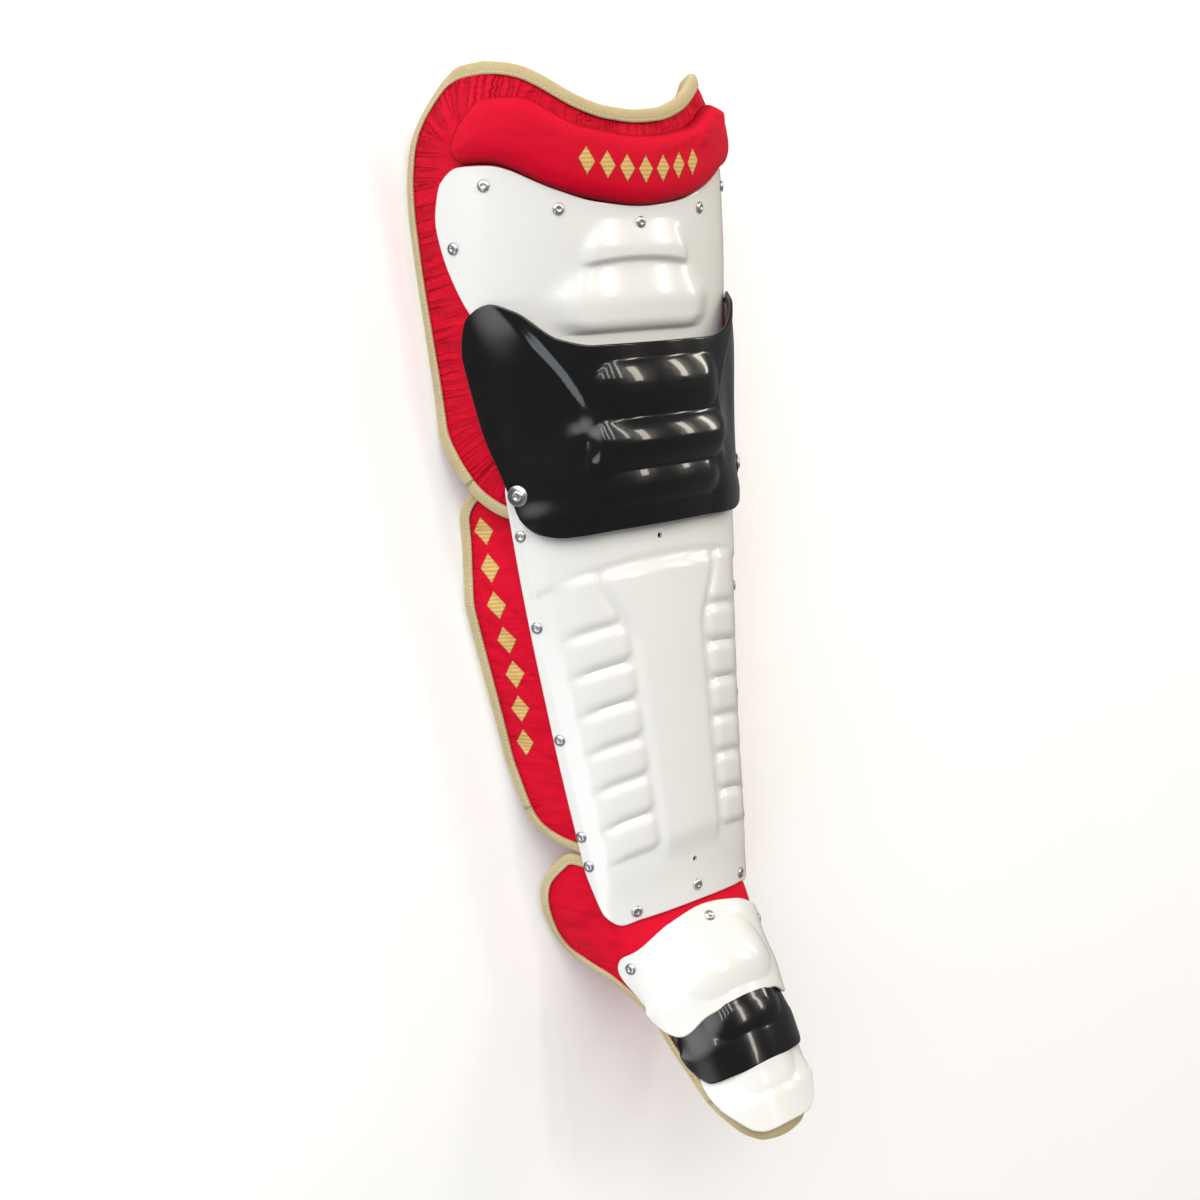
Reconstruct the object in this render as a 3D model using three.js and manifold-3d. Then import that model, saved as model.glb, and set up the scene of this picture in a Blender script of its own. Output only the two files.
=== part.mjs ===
// Goalkeeper leg pad: moulded plates riveted over padded fabric liners, lying on its open back.
// Millimetres. X runs across the leg, +Y runs up the leg to the thigh, +Z points away from the leg,
// and Z = 0 is the floor that the wings lie on.
import * as THREE from "three";
import { mergeVertices } from "three/addons/utils/BufferGeometryUtils.js";
import Module from "manifold-3d";

const wasm = await Module();
wasm.setup();

// Wall thicknesses and the gaps between pieces
const PLATE_WALL = 3;
const SEAT_GAP = 1;
const LAP_RISE = 4.2;
const LINER_EDGE = 6;
const EDGE_DROP = 3;
const TAPE_WIDTH = 9;
const TAPE_WALL = 1.2;
const TAPE_GAP = 0.8;
const TAPE_FIT = 0.3;
const FOLD_SHARE = 0.9;
const DEGREE = Math.PI / 180;

// Forms: each row is a slice across the pad at y. The front of a slice is half an ellipse, halfWidth
// and rise are its half axes and crown its height above the floor; past wingFrom degrees it runs on
// straight as a wing.
const THIGH_FORM = [
  { y: 80, halfWidth: 118, rise: 42, crown: 94.6, wingFrom: 74 },
  { y: 150, halfWidth: 126, rise: 43, crown: 94.6, wingFrom: 79 },
  { y: 215, halfWidth: 138, rise: 60, crown: 99, wingFrom: 83 },
  { y: 330, halfWidth: 146, rise: 80, crown: 118, wingFrom: 86 },
  { y: 400, halfWidth: 144, rise: 86, crown: 129, wingFrom: 86 },
  { y: 460, halfWidth: 122, rise: 106, crown: 140, wingFrom: 86 },
];
const CAP_FORM = [
  { y: 75, halfWidth: 124, rise: 58, crown: 112, wingFrom: 89 },
  { y: 117, halfWidth: 129, rise: 75, crown: 123, wingFrom: 89 },
  { y: 180, halfWidth: 139, rise: 84, crown: 126, wingFrom: 89 },
  { y: 245, halfWidth: 147, rise: 90, crown: 128, wingFrom: 89 },
  { y: 275, halfWidth: 148, rise: 92, crown: 126, wingFrom: 89 },
];
const SHIN_FORM = [
  { y: -275, halfWidth: 87, rise: 42, crown: 98, wingFrom: 77 },
  { y: -240, halfWidth: 90, rise: 43, crown: 98, wingFrom: 76 },
  { y: -95, halfWidth: 105, rise: 49, crown: 98, wingFrom: 75 },
  { y: 30, halfWidth: 118, rise: 47.5, crown: 98, wingFrom: 75 },
  { y: 105, halfWidth: 123.5, rise: 45, crown: 98, wingFrom: 74 },
  { y: 160, halfWidth: 127, rise: 43, crown: 98, wingFrom: 75 },
];
const FOOT_FORM = [
  { y: -460, halfWidth: 60, rise: 26, crown: 186, wingFrom: 80 },
  { y: -410, halfWidth: 60, rise: 38, crown: 167, wingFrom: 80 },
  { y: -360, halfWidth: 65, rise: 48, crown: 148, wingFrom: 80 },
  { y: -310, halfWidth: 75, rise: 54, crown: 126, wingFrom: 80 },
  { y: -278, halfWidth: 76, rise: 55, crown: 108, wingFrom: 72 },
  { y: -255, halfWidth: 83, rise: 40, crown: 91.4, wingFrom: 75 },
  { y: -200, halfWidth: 88, rise: 40, crown: 93.4, wingFrom: 77 },
];

// Side outlines of the liners: the height that the edge of each wing comes down to, at each y
const THIGH_EDGE = [
  { y: 96, edge: 52 }, { y: 104, edge: 43 }, { y: 125, edge: 29 }, { y: 150, edge: 17 },
  { y: 180, edge: 6.6 }, { y: 210, edge: 4.4 }, { y: 250, edge: 3 }, { y: 350, edge: 2.6 },
  { y: 380, edge: 5 }, { y: 408, edge: 11 }, { y: 432, edge: 16 }, { y: 452, edge: 24 },
];
const CALF_EDGE = [
  { y: -206, edge: 46 }, { y: -191, edge: 29 }, { y: -178, edge: 20 }, { y: -145, edge: 12.5 },
  { y: -105, edge: 8.4 }, { y: 20, edge: 8.8 }, { y: 50, edge: 11.8 }, { y: 92, edge: 17.8 },
  { y: 124, edge: 22 },
];
const FOOT_EDGE = [
  { y: -455, edge: 181 }, { y: -432, edge: 163 }, { y: -410, edge: 141 }, { y: -380, edge: 116 },
  { y: -351, edge: 96 }, { y: -328, edge: 62 }, { y: -313, edge: 26 }, { y: -297, edge: 9 },
  { y: -278, edge: 5.5 }, { y: -240, edge: 5.7 }, { y: -226, edge: 8.5 }, { y: -211, edge: 17 },
];
// The same for the foot plates, before their share of it is taken
const PLATE_EDGE = [
  { y: -455, edge: 181 }, { y: -432, edge: 163 }, { y: -410, edge: 141 }, { y: -385, edge: 119 },
  { y: -356, edge: 99 }, { y: -330, edge: 78 }, { y: -308, edge: 50 }, { y: -292, edge: 20 },
];

// Value of a column of a table at a key, on a smooth curve through its rows that never overshoots
function valueAt(rows, keyColumn, column, key) {
  const last = rows.length - 1;
  if (key <= rows[0][keyColumn]) return rows[0][column];
  if (key >= rows[last][keyColumn]) return rows[last][column];
  const i = rows.findIndex((row) => row[keyColumn] > key) - 1;
  const slope = (j) => {
    if (j < 0 || j >= last) return 0;
    return (rows[j + 1][column] - rows[j][column]) / (rows[j + 1][keyColumn] - rows[j][keyColumn]);
  };
  const tangent = (j) => {
    const before = j > 0 ? slope(j - 1) : slope(0);
    const after = j < last ? slope(j) : slope(last - 1);
    return before * after > 0 ? (2 * before * after) / (before + after) : 0;
  };
  const width = rows[i + 1][keyColumn] - rows[i][keyColumn];
  const f = (key - rows[i][keyColumn]) / width;
  const stay = (1 + 2 * f) * (1 - f) * (1 - f);
  const go = f * f * (3 - 2 * f);
  return stay * rows[i][column] + go * rows[i + 1][column]
    + width * f * (1 - f) * ((1 - f) * tangent(i) - f * tangent(i + 1));
}

// Fraction from 0 to 1, eased at both ends, of the way from one value to another
function ease(from, to, at) {
  const f = Math.min(1, Math.max(0, (at - from) / (to - from)));
  return f * f * (3 - 2 * f);
}

// Point of a form at a turn (radians round the leg from its front) and a y
function formPoint(form, turn, y) {
  const halfWidth = valueAt(form, "y", "halfWidth", y);
  const rise = valueAt(form, "y", "rise", y);
  const centre = valueAt(form, "y", "crown", y) - rise;
  const bend = valueAt(form, "y", "wingFrom", y) * DEGREE;
  const swing = Math.min(Math.abs(turn), bend);
  const run = Math.abs(turn) - swing;
  const x = halfWidth * (Math.sin(swing) + run * Math.cos(swing));
  const z = centre + rise * (Math.cos(swing) - run * Math.sin(swing));
  return new THREE.Vector3(Math.sign(turn) * x, y, z);
}

// Turn at which a form comes down to an outline's edge height
function edgeTurn(form, outline, y) {
  const rise = valueAt(form, "y", "rise", y);
  const centre = valueAt(form, "y", "crown", y) - rise;
  const bend = valueAt(form, "y", "wingFrom", y) * DEGREE;
  const above = (valueAt(outline, "y", "edge", y) - centre) / rise;
  if (above > Math.cos(bend)) return Math.acos(above);
  return bend + (Math.cos(bend) - above) / Math.sin(bend);
}

// Outward normal of a form
function formNormal(form, turn, y) {
  const across = formPoint(form, turn + 0.02, y).sub(formPoint(form, turn - 0.02, y));
  const up = formPoint(form, turn, y + 1).sub(formPoint(form, turn, y - 1));
  return across.cross(up).normalize();
}

// Point at a height above a form
function lifted(form, turn, y, height) {
  return formPoint(form, turn, y).addScaledVector(formNormal(form, turn, y), height);
}

// Evenly spaced fractions with both ends pulled in to one edge cell, for liners that are bound
function edgedSteps(count, edgeCell) {
  const inner = Array.from({ length: count + 1 }, (unused, k) => edgeCell + ((1 - 2 * edgeCell) * k) / count);
  return [0, ...inner, 1];
}

// The same columns on the left as on the right of the middle
function mirrored(rightColumns) {
  return [...rightColumns.filter((s) => s > 0).map((s) => -s).reverse(), ...rightColumns];
}

// A curved panel: side s from -1 to 1 across it, v from 0 to 1 up it, cut by its bottom and top lines
function panelGrid(panel) {
  return panel.columns.map((s) => panel.rows.map((v) => {
    const low = valueAt(panel.bottom, "s", "y", Math.abs(s));
    const high = valueAt(panel.top, "s", "y", Math.abs(s));
    const arch = (panel.arch ?? 0) * s * s * Math.min(1, 5 * v, 5 * (1 - v));
    const y = low + (high - low) * v - arch;
    return { s, v, y, turn: s * panel.reach(y) };
  }));
}

// The cells round the rim of a grid, anticlockwise seen from outside
function rimOf(grid) {
  const right = grid.length - 1;
  const top = grid[0].length - 1;
  const rim = [];
  for (let i = 0; i < right; i += 1) rim.push([i, 0]);
  for (let j = 0; j < top; j += 1) rim.push([right, j]);
  for (let i = right; i > 0; i -= 1) rim.push([i, top]);
  for (let j = top; j > 0; j -= 1) rim.push([0, j]);
  return rim;
}

// Closed solid from vertices and triangles, as a body that can be joined and cut
function solidOf(points, triangles) {
  const vertProperties = new Float32Array(points.flatMap((p) => [p.x, p.y, p.z]));
  const triVerts = new Uint32Array(triangles);
  return new wasm.Manifold(new wasm.Mesh({ numProp: 3, vertProperties, triVerts }));
}

// Slab between the outer and inner heights of a panel, closed round its rim
function panelSolid(panel) {
  const grid = panelGrid(panel);
  const tall = grid[0].length;
  const edgePoints = rimOf(grid).map(([i, j]) => formPoint(panel.form, grid[i][j].turn, grid[i][j].y));
  const points = [];
  const sides = ["outer", "inner"];
  for (const side of sides) {
    for (const cell of grid.flat()) {
      const base = formPoint(panel.form, cell.turn, cell.y);
      const inset = Math.min(...edgePoints.map((p) => p.distanceTo(base)));
      points.push(lifted(panel.form, cell.turn, cell.y, panel[side]({ ...cell, x: base.x, inset })));
    }
  }
  const outerAt = (i, j) => i * tall + j;
  const innerAt = (i, j) => grid.length * tall + outerAt(i, j);
  const triangles = [];
  for (let i = 0; i < grid.length - 1; i += 1) {
    for (let j = 0; j < tall - 1; j += 1) {
      const o = [outerAt(i, j), outerAt(i + 1, j), outerAt(i + 1, j + 1), outerAt(i, j + 1)];
      const n = [innerAt(i, j), innerAt(i + 1, j), innerAt(i + 1, j + 1), innerAt(i, j + 1)];
      triangles.push(o[0], o[1], o[2], o[0], o[2], o[3], n[0], n[2], n[1], n[0], n[3], n[2]);
    }
  }
  const rim = rimOf(grid);
  rim.forEach(([i, j], k) => {
    const [nextI, nextJ] = rim[(k + 1) % rim.length];
    const o = [outerAt(i, j), outerAt(nextI, nextJ)];
    const n = [innerAt(i, j), innerAt(nextI, nextJ)];
    triangles.push(o[1], o[0], n[0], o[1], n[0], n[1]);
  });
  return solidOf(points, triangles);
}

// Tape folded over the edge of a liner: a channel swept round the rim, with the liner in its slot
function bindingSolid(panel, fit = 0) {
  const grid = panelGrid(panel);
  const stations = rimOf(grid).map(([i, j]) => {
    const { turn, y } = grid[i][j];
    const normal = formNormal(panel.form, turn, y);
    const middle = lifted(panel.form, turn, y, panel.seat(y) - EDGE_DROP - LINER_EDGE / 2);
    return { middle, normal };
  });
  const slot = LINER_EDGE / 2 + TAPE_GAP - fit;
  const face = LINER_EDGE / 2 + TAPE_GAP + TAPE_WALL + fit;
  const inside = TAPE_GAP - fit;
  const fold = TAPE_GAP + TAPE_WALL + fit;
  const lip = -TAPE_WIDTH - fit;
  const channel = [
    { out: lip, up: face }, { out: fold, up: face * FOLD_SHARE },
    { out: fold, up: -face * FOLD_SHARE }, { out: lip, up: -face },
    { out: lip, up: -slot }, { out: inside, up: -slot },
    { out: inside, up: slot }, { out: lip, up: slot },
  ];
  const count = stations.length;
  const sides = channel.length;
  const points = [];
  stations.forEach(({ middle, normal }, k) => {
    const before = stations[(k + count - 1) % count].middle;
    const after = stations[(k + 1) % count].middle;
    const inbound = middle.clone().sub(before).normalize();
    const outbound = after.clone().sub(middle).normalize();
    const outward = inbound.clone().add(outbound).cross(normal).normalize();
    const square = normal.clone().addScaledVector(outward, -normal.dot(outward)).normalize();
    for (const corner of channel) {
      points.push(middle.clone().addScaledVector(outward, corner.out).addScaledVector(square, corner.up));
    }
  });
  const triangles = [];
  for (let k = 0; k < count; k += 1) {
    for (let c = 0; c < sides; c += 1) {
      const here = k * sides;
      const next = ((k + 1) % count) * sides;
      const d = (c + 1) % sides;
      const inSlot = c >= 4 && c <= 6;
      if (inSlot) triangles.push(here + c, here + d, next + c, here + d, next + d, next + c);
      else triangles.push(here + c, next + d, next + c, here + c, here + d, next + d);
    }
  }
  return solidOf(points, triangles);
}

// Liner trimmed so that its tape closes over it without touching
function linerSolid(panel) {
  const bodies = panelSolid(panel).subtract(bindingSolid(panel, TAPE_FIT)).decompose();
  return bodies.reduce((largest, body) => (body.volume() > largest.volume() ? body : largest));
}

// Solid of revolution about the outward normal of a seat, from rows of radius and height
function turnedSolid(profile, sides, seat) {
  const toSeat = new THREE.Quaternion().setFromUnitVectors(new THREE.Vector3(0, 0, 1), seat.normal);
  const place = (radius, angle, height) => new THREE.Vector3(
    radius * Math.cos(angle), radius * Math.sin(angle), height,
  ).applyQuaternion(toSeat).add(seat.point);
  const points = [place(0, 0, profile[0].height)];
  for (const ring of profile) {
    for (let k = 0; k < sides; k += 1) {
      points.push(place(ring.radius, (2 * Math.PI * k) / sides, ring.height));
    }
  }
  points.push(place(0, 0, profile[profile.length - 1].height));
  const triangles = [];
  const end = points.length - 1;
  for (let k = 0; k < sides; k += 1) {
    const n = (k + 1) % sides;
    triangles.push(0, 1 + n, 1 + k);
    for (let r = 0; r < profile.length - 1; r += 1) {
      const low = 1 + r * sides;
      const high = low + sides;
      triangles.push(low + k, low + n, high + n, low + k, high + n, high + k);
    }
    triangles.push(end, end - sides + k, end - sides + n);
  }
  return solidOf(points, triangles);
}

// A drill through a plate at a seat
const ROUND_SIDES = 6;
const DRILL_REACH = 9;
function drill(seat, radius) {
  return turnedSolid([{ radius, height: -DRILL_REACH }, { radius, height: DRILL_REACH }], ROUND_SIDES, seat);
}

// Liners: padded fabric, thin where the tape folds over it and thick in the middle
function linerHeights(fullThickness, seat) {
  return {
    seat,
    outer: (cell) => seat(cell.y) - EDGE_DROP * (1 - ease(13, 40, cell.inset)),
    inner: (cell) => {
      const padding = fullThickness(cell.y) - LINER_EDGE - EDGE_DROP;
      return seat(cell.y) - EDGE_DROP - LINER_EDGE - padding * ease(13, 60, cell.inset);
    },
  };
}

const LINER_ROWS = edgedSteps(6, 0.04);
const LINER_COLUMNS = mirrored([0, 0.18, 0.36, 0.52, 0.66, 0.79, 0.91, 1]);
const thighLiner = {
  form: THIGH_FORM,
  columns: LINER_COLUMNS,
  rows: LINER_ROWS,
  reach: (y) => edgeTurn(THIGH_FORM, THIGH_EDGE, y),
  bottom: [{ s: 0, y: 92 }, { s: 1, y: 98 }],
  top: [
    { s: 0, y: 419 }, { s: 0.18, y: 424 }, { s: 0.36, y: 438 }, { s: 0.52, y: 450 },
    { s: 0.66, y: 455.5 }, { s: 0.79, y: 456.5 }, { s: 0.91, y: 455 }, { s: 1, y: 448 },
  ],
  ...linerHeights((y) => 11 + 8 * ease(140, 205, y), () => 0),
};
const calfLap = (y) => -4 - 14 * ease(20, 92, y);
const calfLiner = {
  form: SHIN_FORM,
  columns: LINER_COLUMNS,
  rows: LINER_ROWS,
  reach: (y) => edgeTurn(SHIN_FORM, CALF_EDGE, y),
  bottom: [
    { s: 0, y: -210 }, { s: 0.6, y: -206 }, { s: 0.79, y: -200 }, { s: 0.91, y: -193 }, { s: 1, y: -180 },
  ],
  top: [{ s: 0, y: 122 }, { s: 0.85, y: 122 }, { s: 1, y: 114 }],
  ...linerHeights((y) => 18 - 8 * ease(20, 92, y), calfLap),
};
const footLiner = {
  form: FOOT_FORM,
  columns: LINER_COLUMNS,
  rows: [0, 0.04, 0.16, 0.28, 0.4, 0.51, 0.62, 0.735, 0.785, 0.833, 0.96, 1],
  reach: (y) => edgeTurn(FOOT_FORM, FOOT_EDGE, y),
  bottom: [{ s: 0, y: -452 }, { s: 0.6, y: -450 }, { s: 1, y: -438 }],
  top: [
    { s: 0, y: -216 }, { s: 0.36, y: -215 }, { s: 0.52, y: -212 }, { s: 0.66, y: -207 },
    { s: 0.79, y: -206 }, { s: 0.91, y: -213 }, { s: 1, y: -226 },
  ],
  ...linerHeights(() => 14, () => 0),
};

// Bolster: a stuffed roll sewn across the top of the thigh
const BOLSTER_RISE = 11;
const thighBolster = {
  form: THIGH_FORM,
  columns: mirrored([0, 0.2, 0.4, 0.6, 0.76, 0.88, 0.96, 1]),
  rows: [0, 0.1, 0.28, 0.5, 0.72, 0.9, 1],
  reach: () => 74 * DEGREE,
  bottom: [
    { s: 0, y: 343 }, { s: 0.25, y: 349 }, { s: 0.42, y: 358 }, { s: 0.75, y: 382 },
    { s: 0.93, y: 385 }, { s: 1, y: 393 },
  ],
  top: [
    { s: 0, y: 398 }, { s: 0.3, y: 406 }, { s: 0.62, y: 430 }, { s: 0.78, y: 431 },
    { s: 0.93, y: 414 }, { s: 1, y: 398 },
  ],
  outer: (cell) => SEAT_GAP + 2.5 + BOLSTER_RISE * Math.sqrt(1 - (1 - Math.min(1, cell.inset / 24)) ** 2),
  inner: () => SEAT_GAP,
};

// Plates: one wall thick, with their relief pressed through the wall
function plateHeights(relief, seatAt = () => SEAT_GAP) {
  return {
    outer: (cell) => seatAt(cell) + PLATE_WALL + relief(cell),
    inner: (cell) => seatAt(cell) + relief(cell),
  };
}

// Thigh shell: a narrow upper step over a wide rounded lower step
function thighRelief({ x, y }) {
  const wide = Math.abs(x);
  const upper = 7 * ease(319, 303, y) * ease(297, 303, y) * (1 - ease(50, 66, wide));
  const lower = 10 * ease(240, 256, y) * (1 - ease(288, 298, y)) * (1 - ease(74, 94, wide));
  return upper + lower;
}
const thighShell = {
  form: THIGH_FORM,
  columns: mirrored([0, 0.2, 0.36, 0.44, 0.53, 0.64, 0.76, 0.9, 1]),
  rows: [0, 0.12, 0.2, 0.32, 0.44, 0.56, 0.64, 0.7, 0.8, 0.92, 1],
  reach: () => 86 * DEGREE,
  bottom: [{ s: 0, y: 215 }, { s: 0.55, y: 225 }, { s: 0.8, y: 264 }, { s: 0.93, y: 304 }, { s: 1, y: 336 }],
  top: [
    { s: 0, y: 341 }, { s: 0.2, y: 345.5 }, { s: 0.36, y: 356 }, { s: 0.66, y: 379 },
    { s: 0.82, y: 381 }, { s: 0.94, y: 372 }, { s: 1, y: 352 },
  ],
  ...plateHeights(thighRelief),
};

// Knee cap: three rolls across the middle, between smooth wings
const CAP_ROLLS = [
  { low: 170, high: 222, rise: 7, half: 62 },
  { low: 128, high: 170, rise: 10, half: 70 },
  { low: 94, high: 128, rise: 7, half: 60 },
];
function capRelief({ x, y }) {
  let height = 0;
  for (const roll of CAP_ROLLS) {
    const f = (2 * (y - roll.low)) / (roll.high - roll.low) - 1;
    const across = 1 - ease(roll.half - 16, roll.half + 10, Math.abs(x));
    if (Math.abs(f) < 1) height += roll.rise * (1 - f ** 4) * across;
  }
  return height;
}
const kneeCap = {
  form: CAP_FORM,
  columns: mirrored([0, 0.2, 0.34, 0.44, 0.54, 0.66, 0.78, 0.9, 1]),
  rows: [0, 0.09, 0.17, 0.24, 0.3, 0.36, 0.46, 0.56, 0.6, 0.66, 0.78, 0.9, 1],
  reach: (y) => (77 + 5 * ease(120, 175, y)) * DEGREE,
  bottom: [{ s: 0, y: 79 }, { s: 0.6, y: 79 }, { s: 0.8, y: 84 }, { s: 0.93, y: 97 }, { s: 1, y: 120 }],
  top: [
    { s: 0, y: 229 }, { s: 0.3, y: 230 }, { s: 0.46, y: 238 }, { s: 0.64, y: 264 },
    { s: 0.76, y: 272 }, { s: 0.9, y: 264 }, { s: 1, y: 240 },
  ],
  ...plateHeights(capRelief, () => -PLATE_WALL),
};

// Shin shell: ribs on both sides of a raised middle panel, below an arched smooth top
const RIB_LINES = [0.145, 0.229, 0.313, 0.397, 0.481, 0.565, 0.649, 0.772];
const RIB_RISE = 4.5;
const PANEL_RISE = 5.5;
function shinRelief({ s, v }) {
  const side = Math.abs(s);
  const flare = 0.13 * ease(0.6, 0.76, v);
  const panel = PANEL_RISE * (1 - ease(0.2 + flare, 0.27 + flare, side))
    * ease(0.125, 0.16, v) * (1 - ease(0.752, 0.79, v));
  const k = RIB_LINES.findIndex((line) => line > v) - 1;
  if (k < 0) return panel;
  const f = (2 * (v - RIB_LINES[k])) / (RIB_LINES[k + 1] - RIB_LINES[k]) - 1;
  const across = ease(0.27 + flare, 0.34 + flare, side) * (1 - ease(0.66, 0.74, side));
  return panel + RIB_RISE * (1 - Math.abs(f) ** 3) * across;
}
const ribRows = RIB_LINES.slice(0, -1).flatMap((line, k) => [line, (line + RIB_LINES[k + 1]) / 2]);
const shinShell = {
  form: SHIN_FORM,
  columns: mirrored([0, 0.2, 0.27, 0.34, 0.5, 0.66, 0.74, 0.88, 1]),
  rows: [0, 0.08, ...ribRows, 0.772, 0.87, 1],
  arch: 14,
  reach: () => 82 * DEGREE,
  bottom: [
    { s: 0, y: -260 }, { s: 0.5, y: -263 }, { s: 0.68, y: -266 }, { s: 0.86, y: -257 }, { s: 1, y: -222 },
  ],
  top: [{ s: 0, y: 140 }, { s: 0.8, y: 140 }, { s: 0.94, y: 136 }, { s: 1, y: 126 }],
  ...plateHeights(shinRelief, () => -PLATE_WALL),
};

// Foot plates: three domed plates, each lapped over the one nearer the toe
function footPlate({ bottom, top, reachShare, dome, domeTop, rows }) {
  const lapAt = (cell) => SEAT_GAP + LAP_RISE * (1 - ease(0.3, 0.72, cell.v));
  const relief = (cell) => dome * Math.sin(Math.PI * Math.min(1, cell.v / domeTop)) ** 2
    * (1 - ease(0.1, 0.62, Math.abs(cell.s)));
  return {
    form: FOOT_FORM,
    columns: mirrored([0, 0.22, 0.44, 0.63, 0.8, 0.92, 1]),
    rows,
    reach: (y) => reachShare * edgeTurn(FOOT_FORM, PLATE_EDGE, y),
    bottom,
    top,
    ...plateHeights(relief, lapAt),
  };
}
const instepPlate = footPlate({
  bottom: [{ s: 0, y: -340 }, { s: 0.4, y: -346 }, { s: 0.8, y: -360 }, { s: 1, y: -353 }],
  top: [
    { s: 0, y: -268 }, { s: 0.3, y: -273 }, { s: 0.62, y: -290 }, { s: 0.88, y: -299 }, { s: 1, y: -308 },
  ],
  reachShare: 0.86,
  dome: 9,
  domeTop: 1,
  rows: [0, 0.18, 0.36, 0.52, 0.68, 0.84, 1],
});
const toeBand = footPlate({
  bottom: [{ s: 0, y: -393 }, { s: 0.5, y: -396 }, { s: 0.85, y: -399 }, { s: 1, y: -392 }],
  top: [{ s: 0, y: -322 }, { s: 0.6, y: -330 }, { s: 1, y: -345 }],
  reachShare: 0.8,
  dome: 6,
  domeTop: 0.74,
  rows: [0, 0.18, 0.36, 0.55, 0.75, 1],
});
const toePlate = footPlate({
  bottom: [{ s: 0, y: -443 }, { s: 0.6, y: -442 }, { s: 0.86, y: -438 }, { s: 1, y: -428 }],
  top: [{ s: 0, y: -378 }, { s: 0.6, y: -384 }, { s: 1, y: -394 }],
  reachShare: 0.82,
  dome: 5,
  domeTop: 0.76,
  rows: [0, 0.18, 0.36, 0.55, 0.75, 1],
});

// Rivets: where each stands, as a side s across its plate and a y
const THIGH_RIVETS = [
  { name: "thigh_rivet_middle", s: 0, y: 329.5 },
  { name: "thigh_rivet_inner", s: 0.354, y: 342.5 },
  { name: "thigh_rivet_outer", s: 0.682, y: 365.5 },
  { name: "thigh_rivet_side", s: 0.88, y: 321 },
];
const SHIN_RIVETS = [
  { name: "shin_rivet_knee", s: 0.915, y: 83 },
  { name: "shin_rivet_upper", s: 0.925, y: 4 },
  { name: "shin_rivet_mid", s: 0.935, y: -96 },
  { name: "shin_rivet_lower", s: 0.95, y: -184 },
  { name: "shin_rivet_ankle", s: 0.94, y: -211 },
  { name: "shin_rivet_corner", s: 0.535, y: -256 },
  { name: "shin_rivet_middle", s: 0, y: -247 },
];
const INSTEP_RIVETS = [
  { name: "instep_rivet_middle", s: 0, y: -276 },
  { name: "instep_rivet_side", s: 0.74, y: -304 },
];
const RIVET_HEAD = 5;
const RIVET_SHANK = 2.2;
const RIVET_HOLE = 2.9;
const RIVET_PROFILE = [
  { radius: RIVET_SHANK, height: -PLATE_WALL + 0.4 },
  { radius: RIVET_SHANK, height: 0.7 },
  { radius: RIVET_HEAD, height: 0.7 },
  { radius: RIVET_HEAD * 0.65, height: 2.3 },
];

// The height of a panel's outer face at a side s and a y, with the direction it faces
function seatOn(panel, s, y) {
  const low = valueAt(panel.bottom, "s", "y", Math.abs(s));
  const high = valueAt(panel.top, "s", "y", Math.abs(s));
  const turn = s * panel.reach(y);
  const cell = { s, y, turn, v: (y - low) / (high - low), x: formPoint(panel.form, turn, y).x };
  return {
    point: lifted(panel.form, turn, y, panel.outer({ ...cell, inset: RIVET_HEAD * 2 })),
    normal: formNormal(panel.form, turn, y),
  };
}

// Each rivet of a list, once on the middle line or on both sides of it
function rivetSeats(panel, rows) {
  return rows.flatMap(({ name, s, y }) => {
    if (s === 0) return [{ name, seat: seatOn(panel, 0, y) }];
    return [
      { name: `${name}_left`, seat: seatOn(panel, -s, y) },
      { name: `${name}_right`, seat: seatOn(panel, s, y) },
    ];
  });
}

// Pivot screws: the cap turns on them, their shanks loose in the holes of the shin shell
const PIVOT = { s: 0.92, y: 117 };
const SCREW_SIDES = 8;
const SCREW_SHANK = 2.4;
const SCREW_REACH = 9;
const SCREW_HOLE = 3.1;
const PIVOT_HOLE = 4;
const PIVOT_DEPTH = 6;
const SCREW_PROFILE = [
  { radius: SCREW_SHANK, height: -SCREW_REACH },
  { radius: SCREW_SHANK, height: 0.3 },
  { radius: 9, height: 0.3 },
  { radius: 9, height: 1.5 },
  { radius: 5, height: 1.5 },
  { radius: 4.4, height: 3.2 },
  { radius: 2.6, height: 4 },
];

// Small through holes on the middle line of the shin shell
const SHIN_HOLES = [{ y: 67 }, { y: -223 }];
const SHIN_HOLE_RADIUS = 1.7;

// The floor, as a block that trims the soft edges flat where they lie on it
const FLOOR_SIDE = 1200;
const FLOOR_DEPTH = 50;
function floorSolid() {
  const block = new THREE.BoxGeometry(FLOOR_SIDE, FLOOR_SIDE, FLOOR_DEPTH).translate(0, 0, -FLOOR_DEPTH / 2);
  block.deleteAttribute("normal");
  block.deleteAttribute("uv");
  const { attributes, index } = mergeVertices(block);
  const corners = Array.from({ length: attributes.position.count }, (unused, k) => (
    new THREE.Vector3().fromBufferAttribute(attributes.position, k)
  ));
  return solidOf(corners, index.array);
}
const FLOOR_CUT = floorSolid();

const pivotSeats = [
  { name: "pivot_screw_left", seat: seatOn(kneeCap, -PIVOT.s, PIVOT.y) },
  { name: "pivot_screw_right", seat: seatOn(kneeCap, PIVOT.s, PIVOT.y) },
];

// A plate with a hole at each rivet
function drilled(panel, rivets) {
  return rivets.reduce((plate, { seat }) => plate.subtract(drill(seat, RIVET_HOLE)), panelSolid(panel));
}

const thighRivets = rivetSeats(thighShell, THIGH_RIVETS);
const shinRivets = rivetSeats(shinShell, SHIN_RIVETS);
const instepRivets = rivetSeats(instepPlate, INSTEP_RIVETS);

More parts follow.
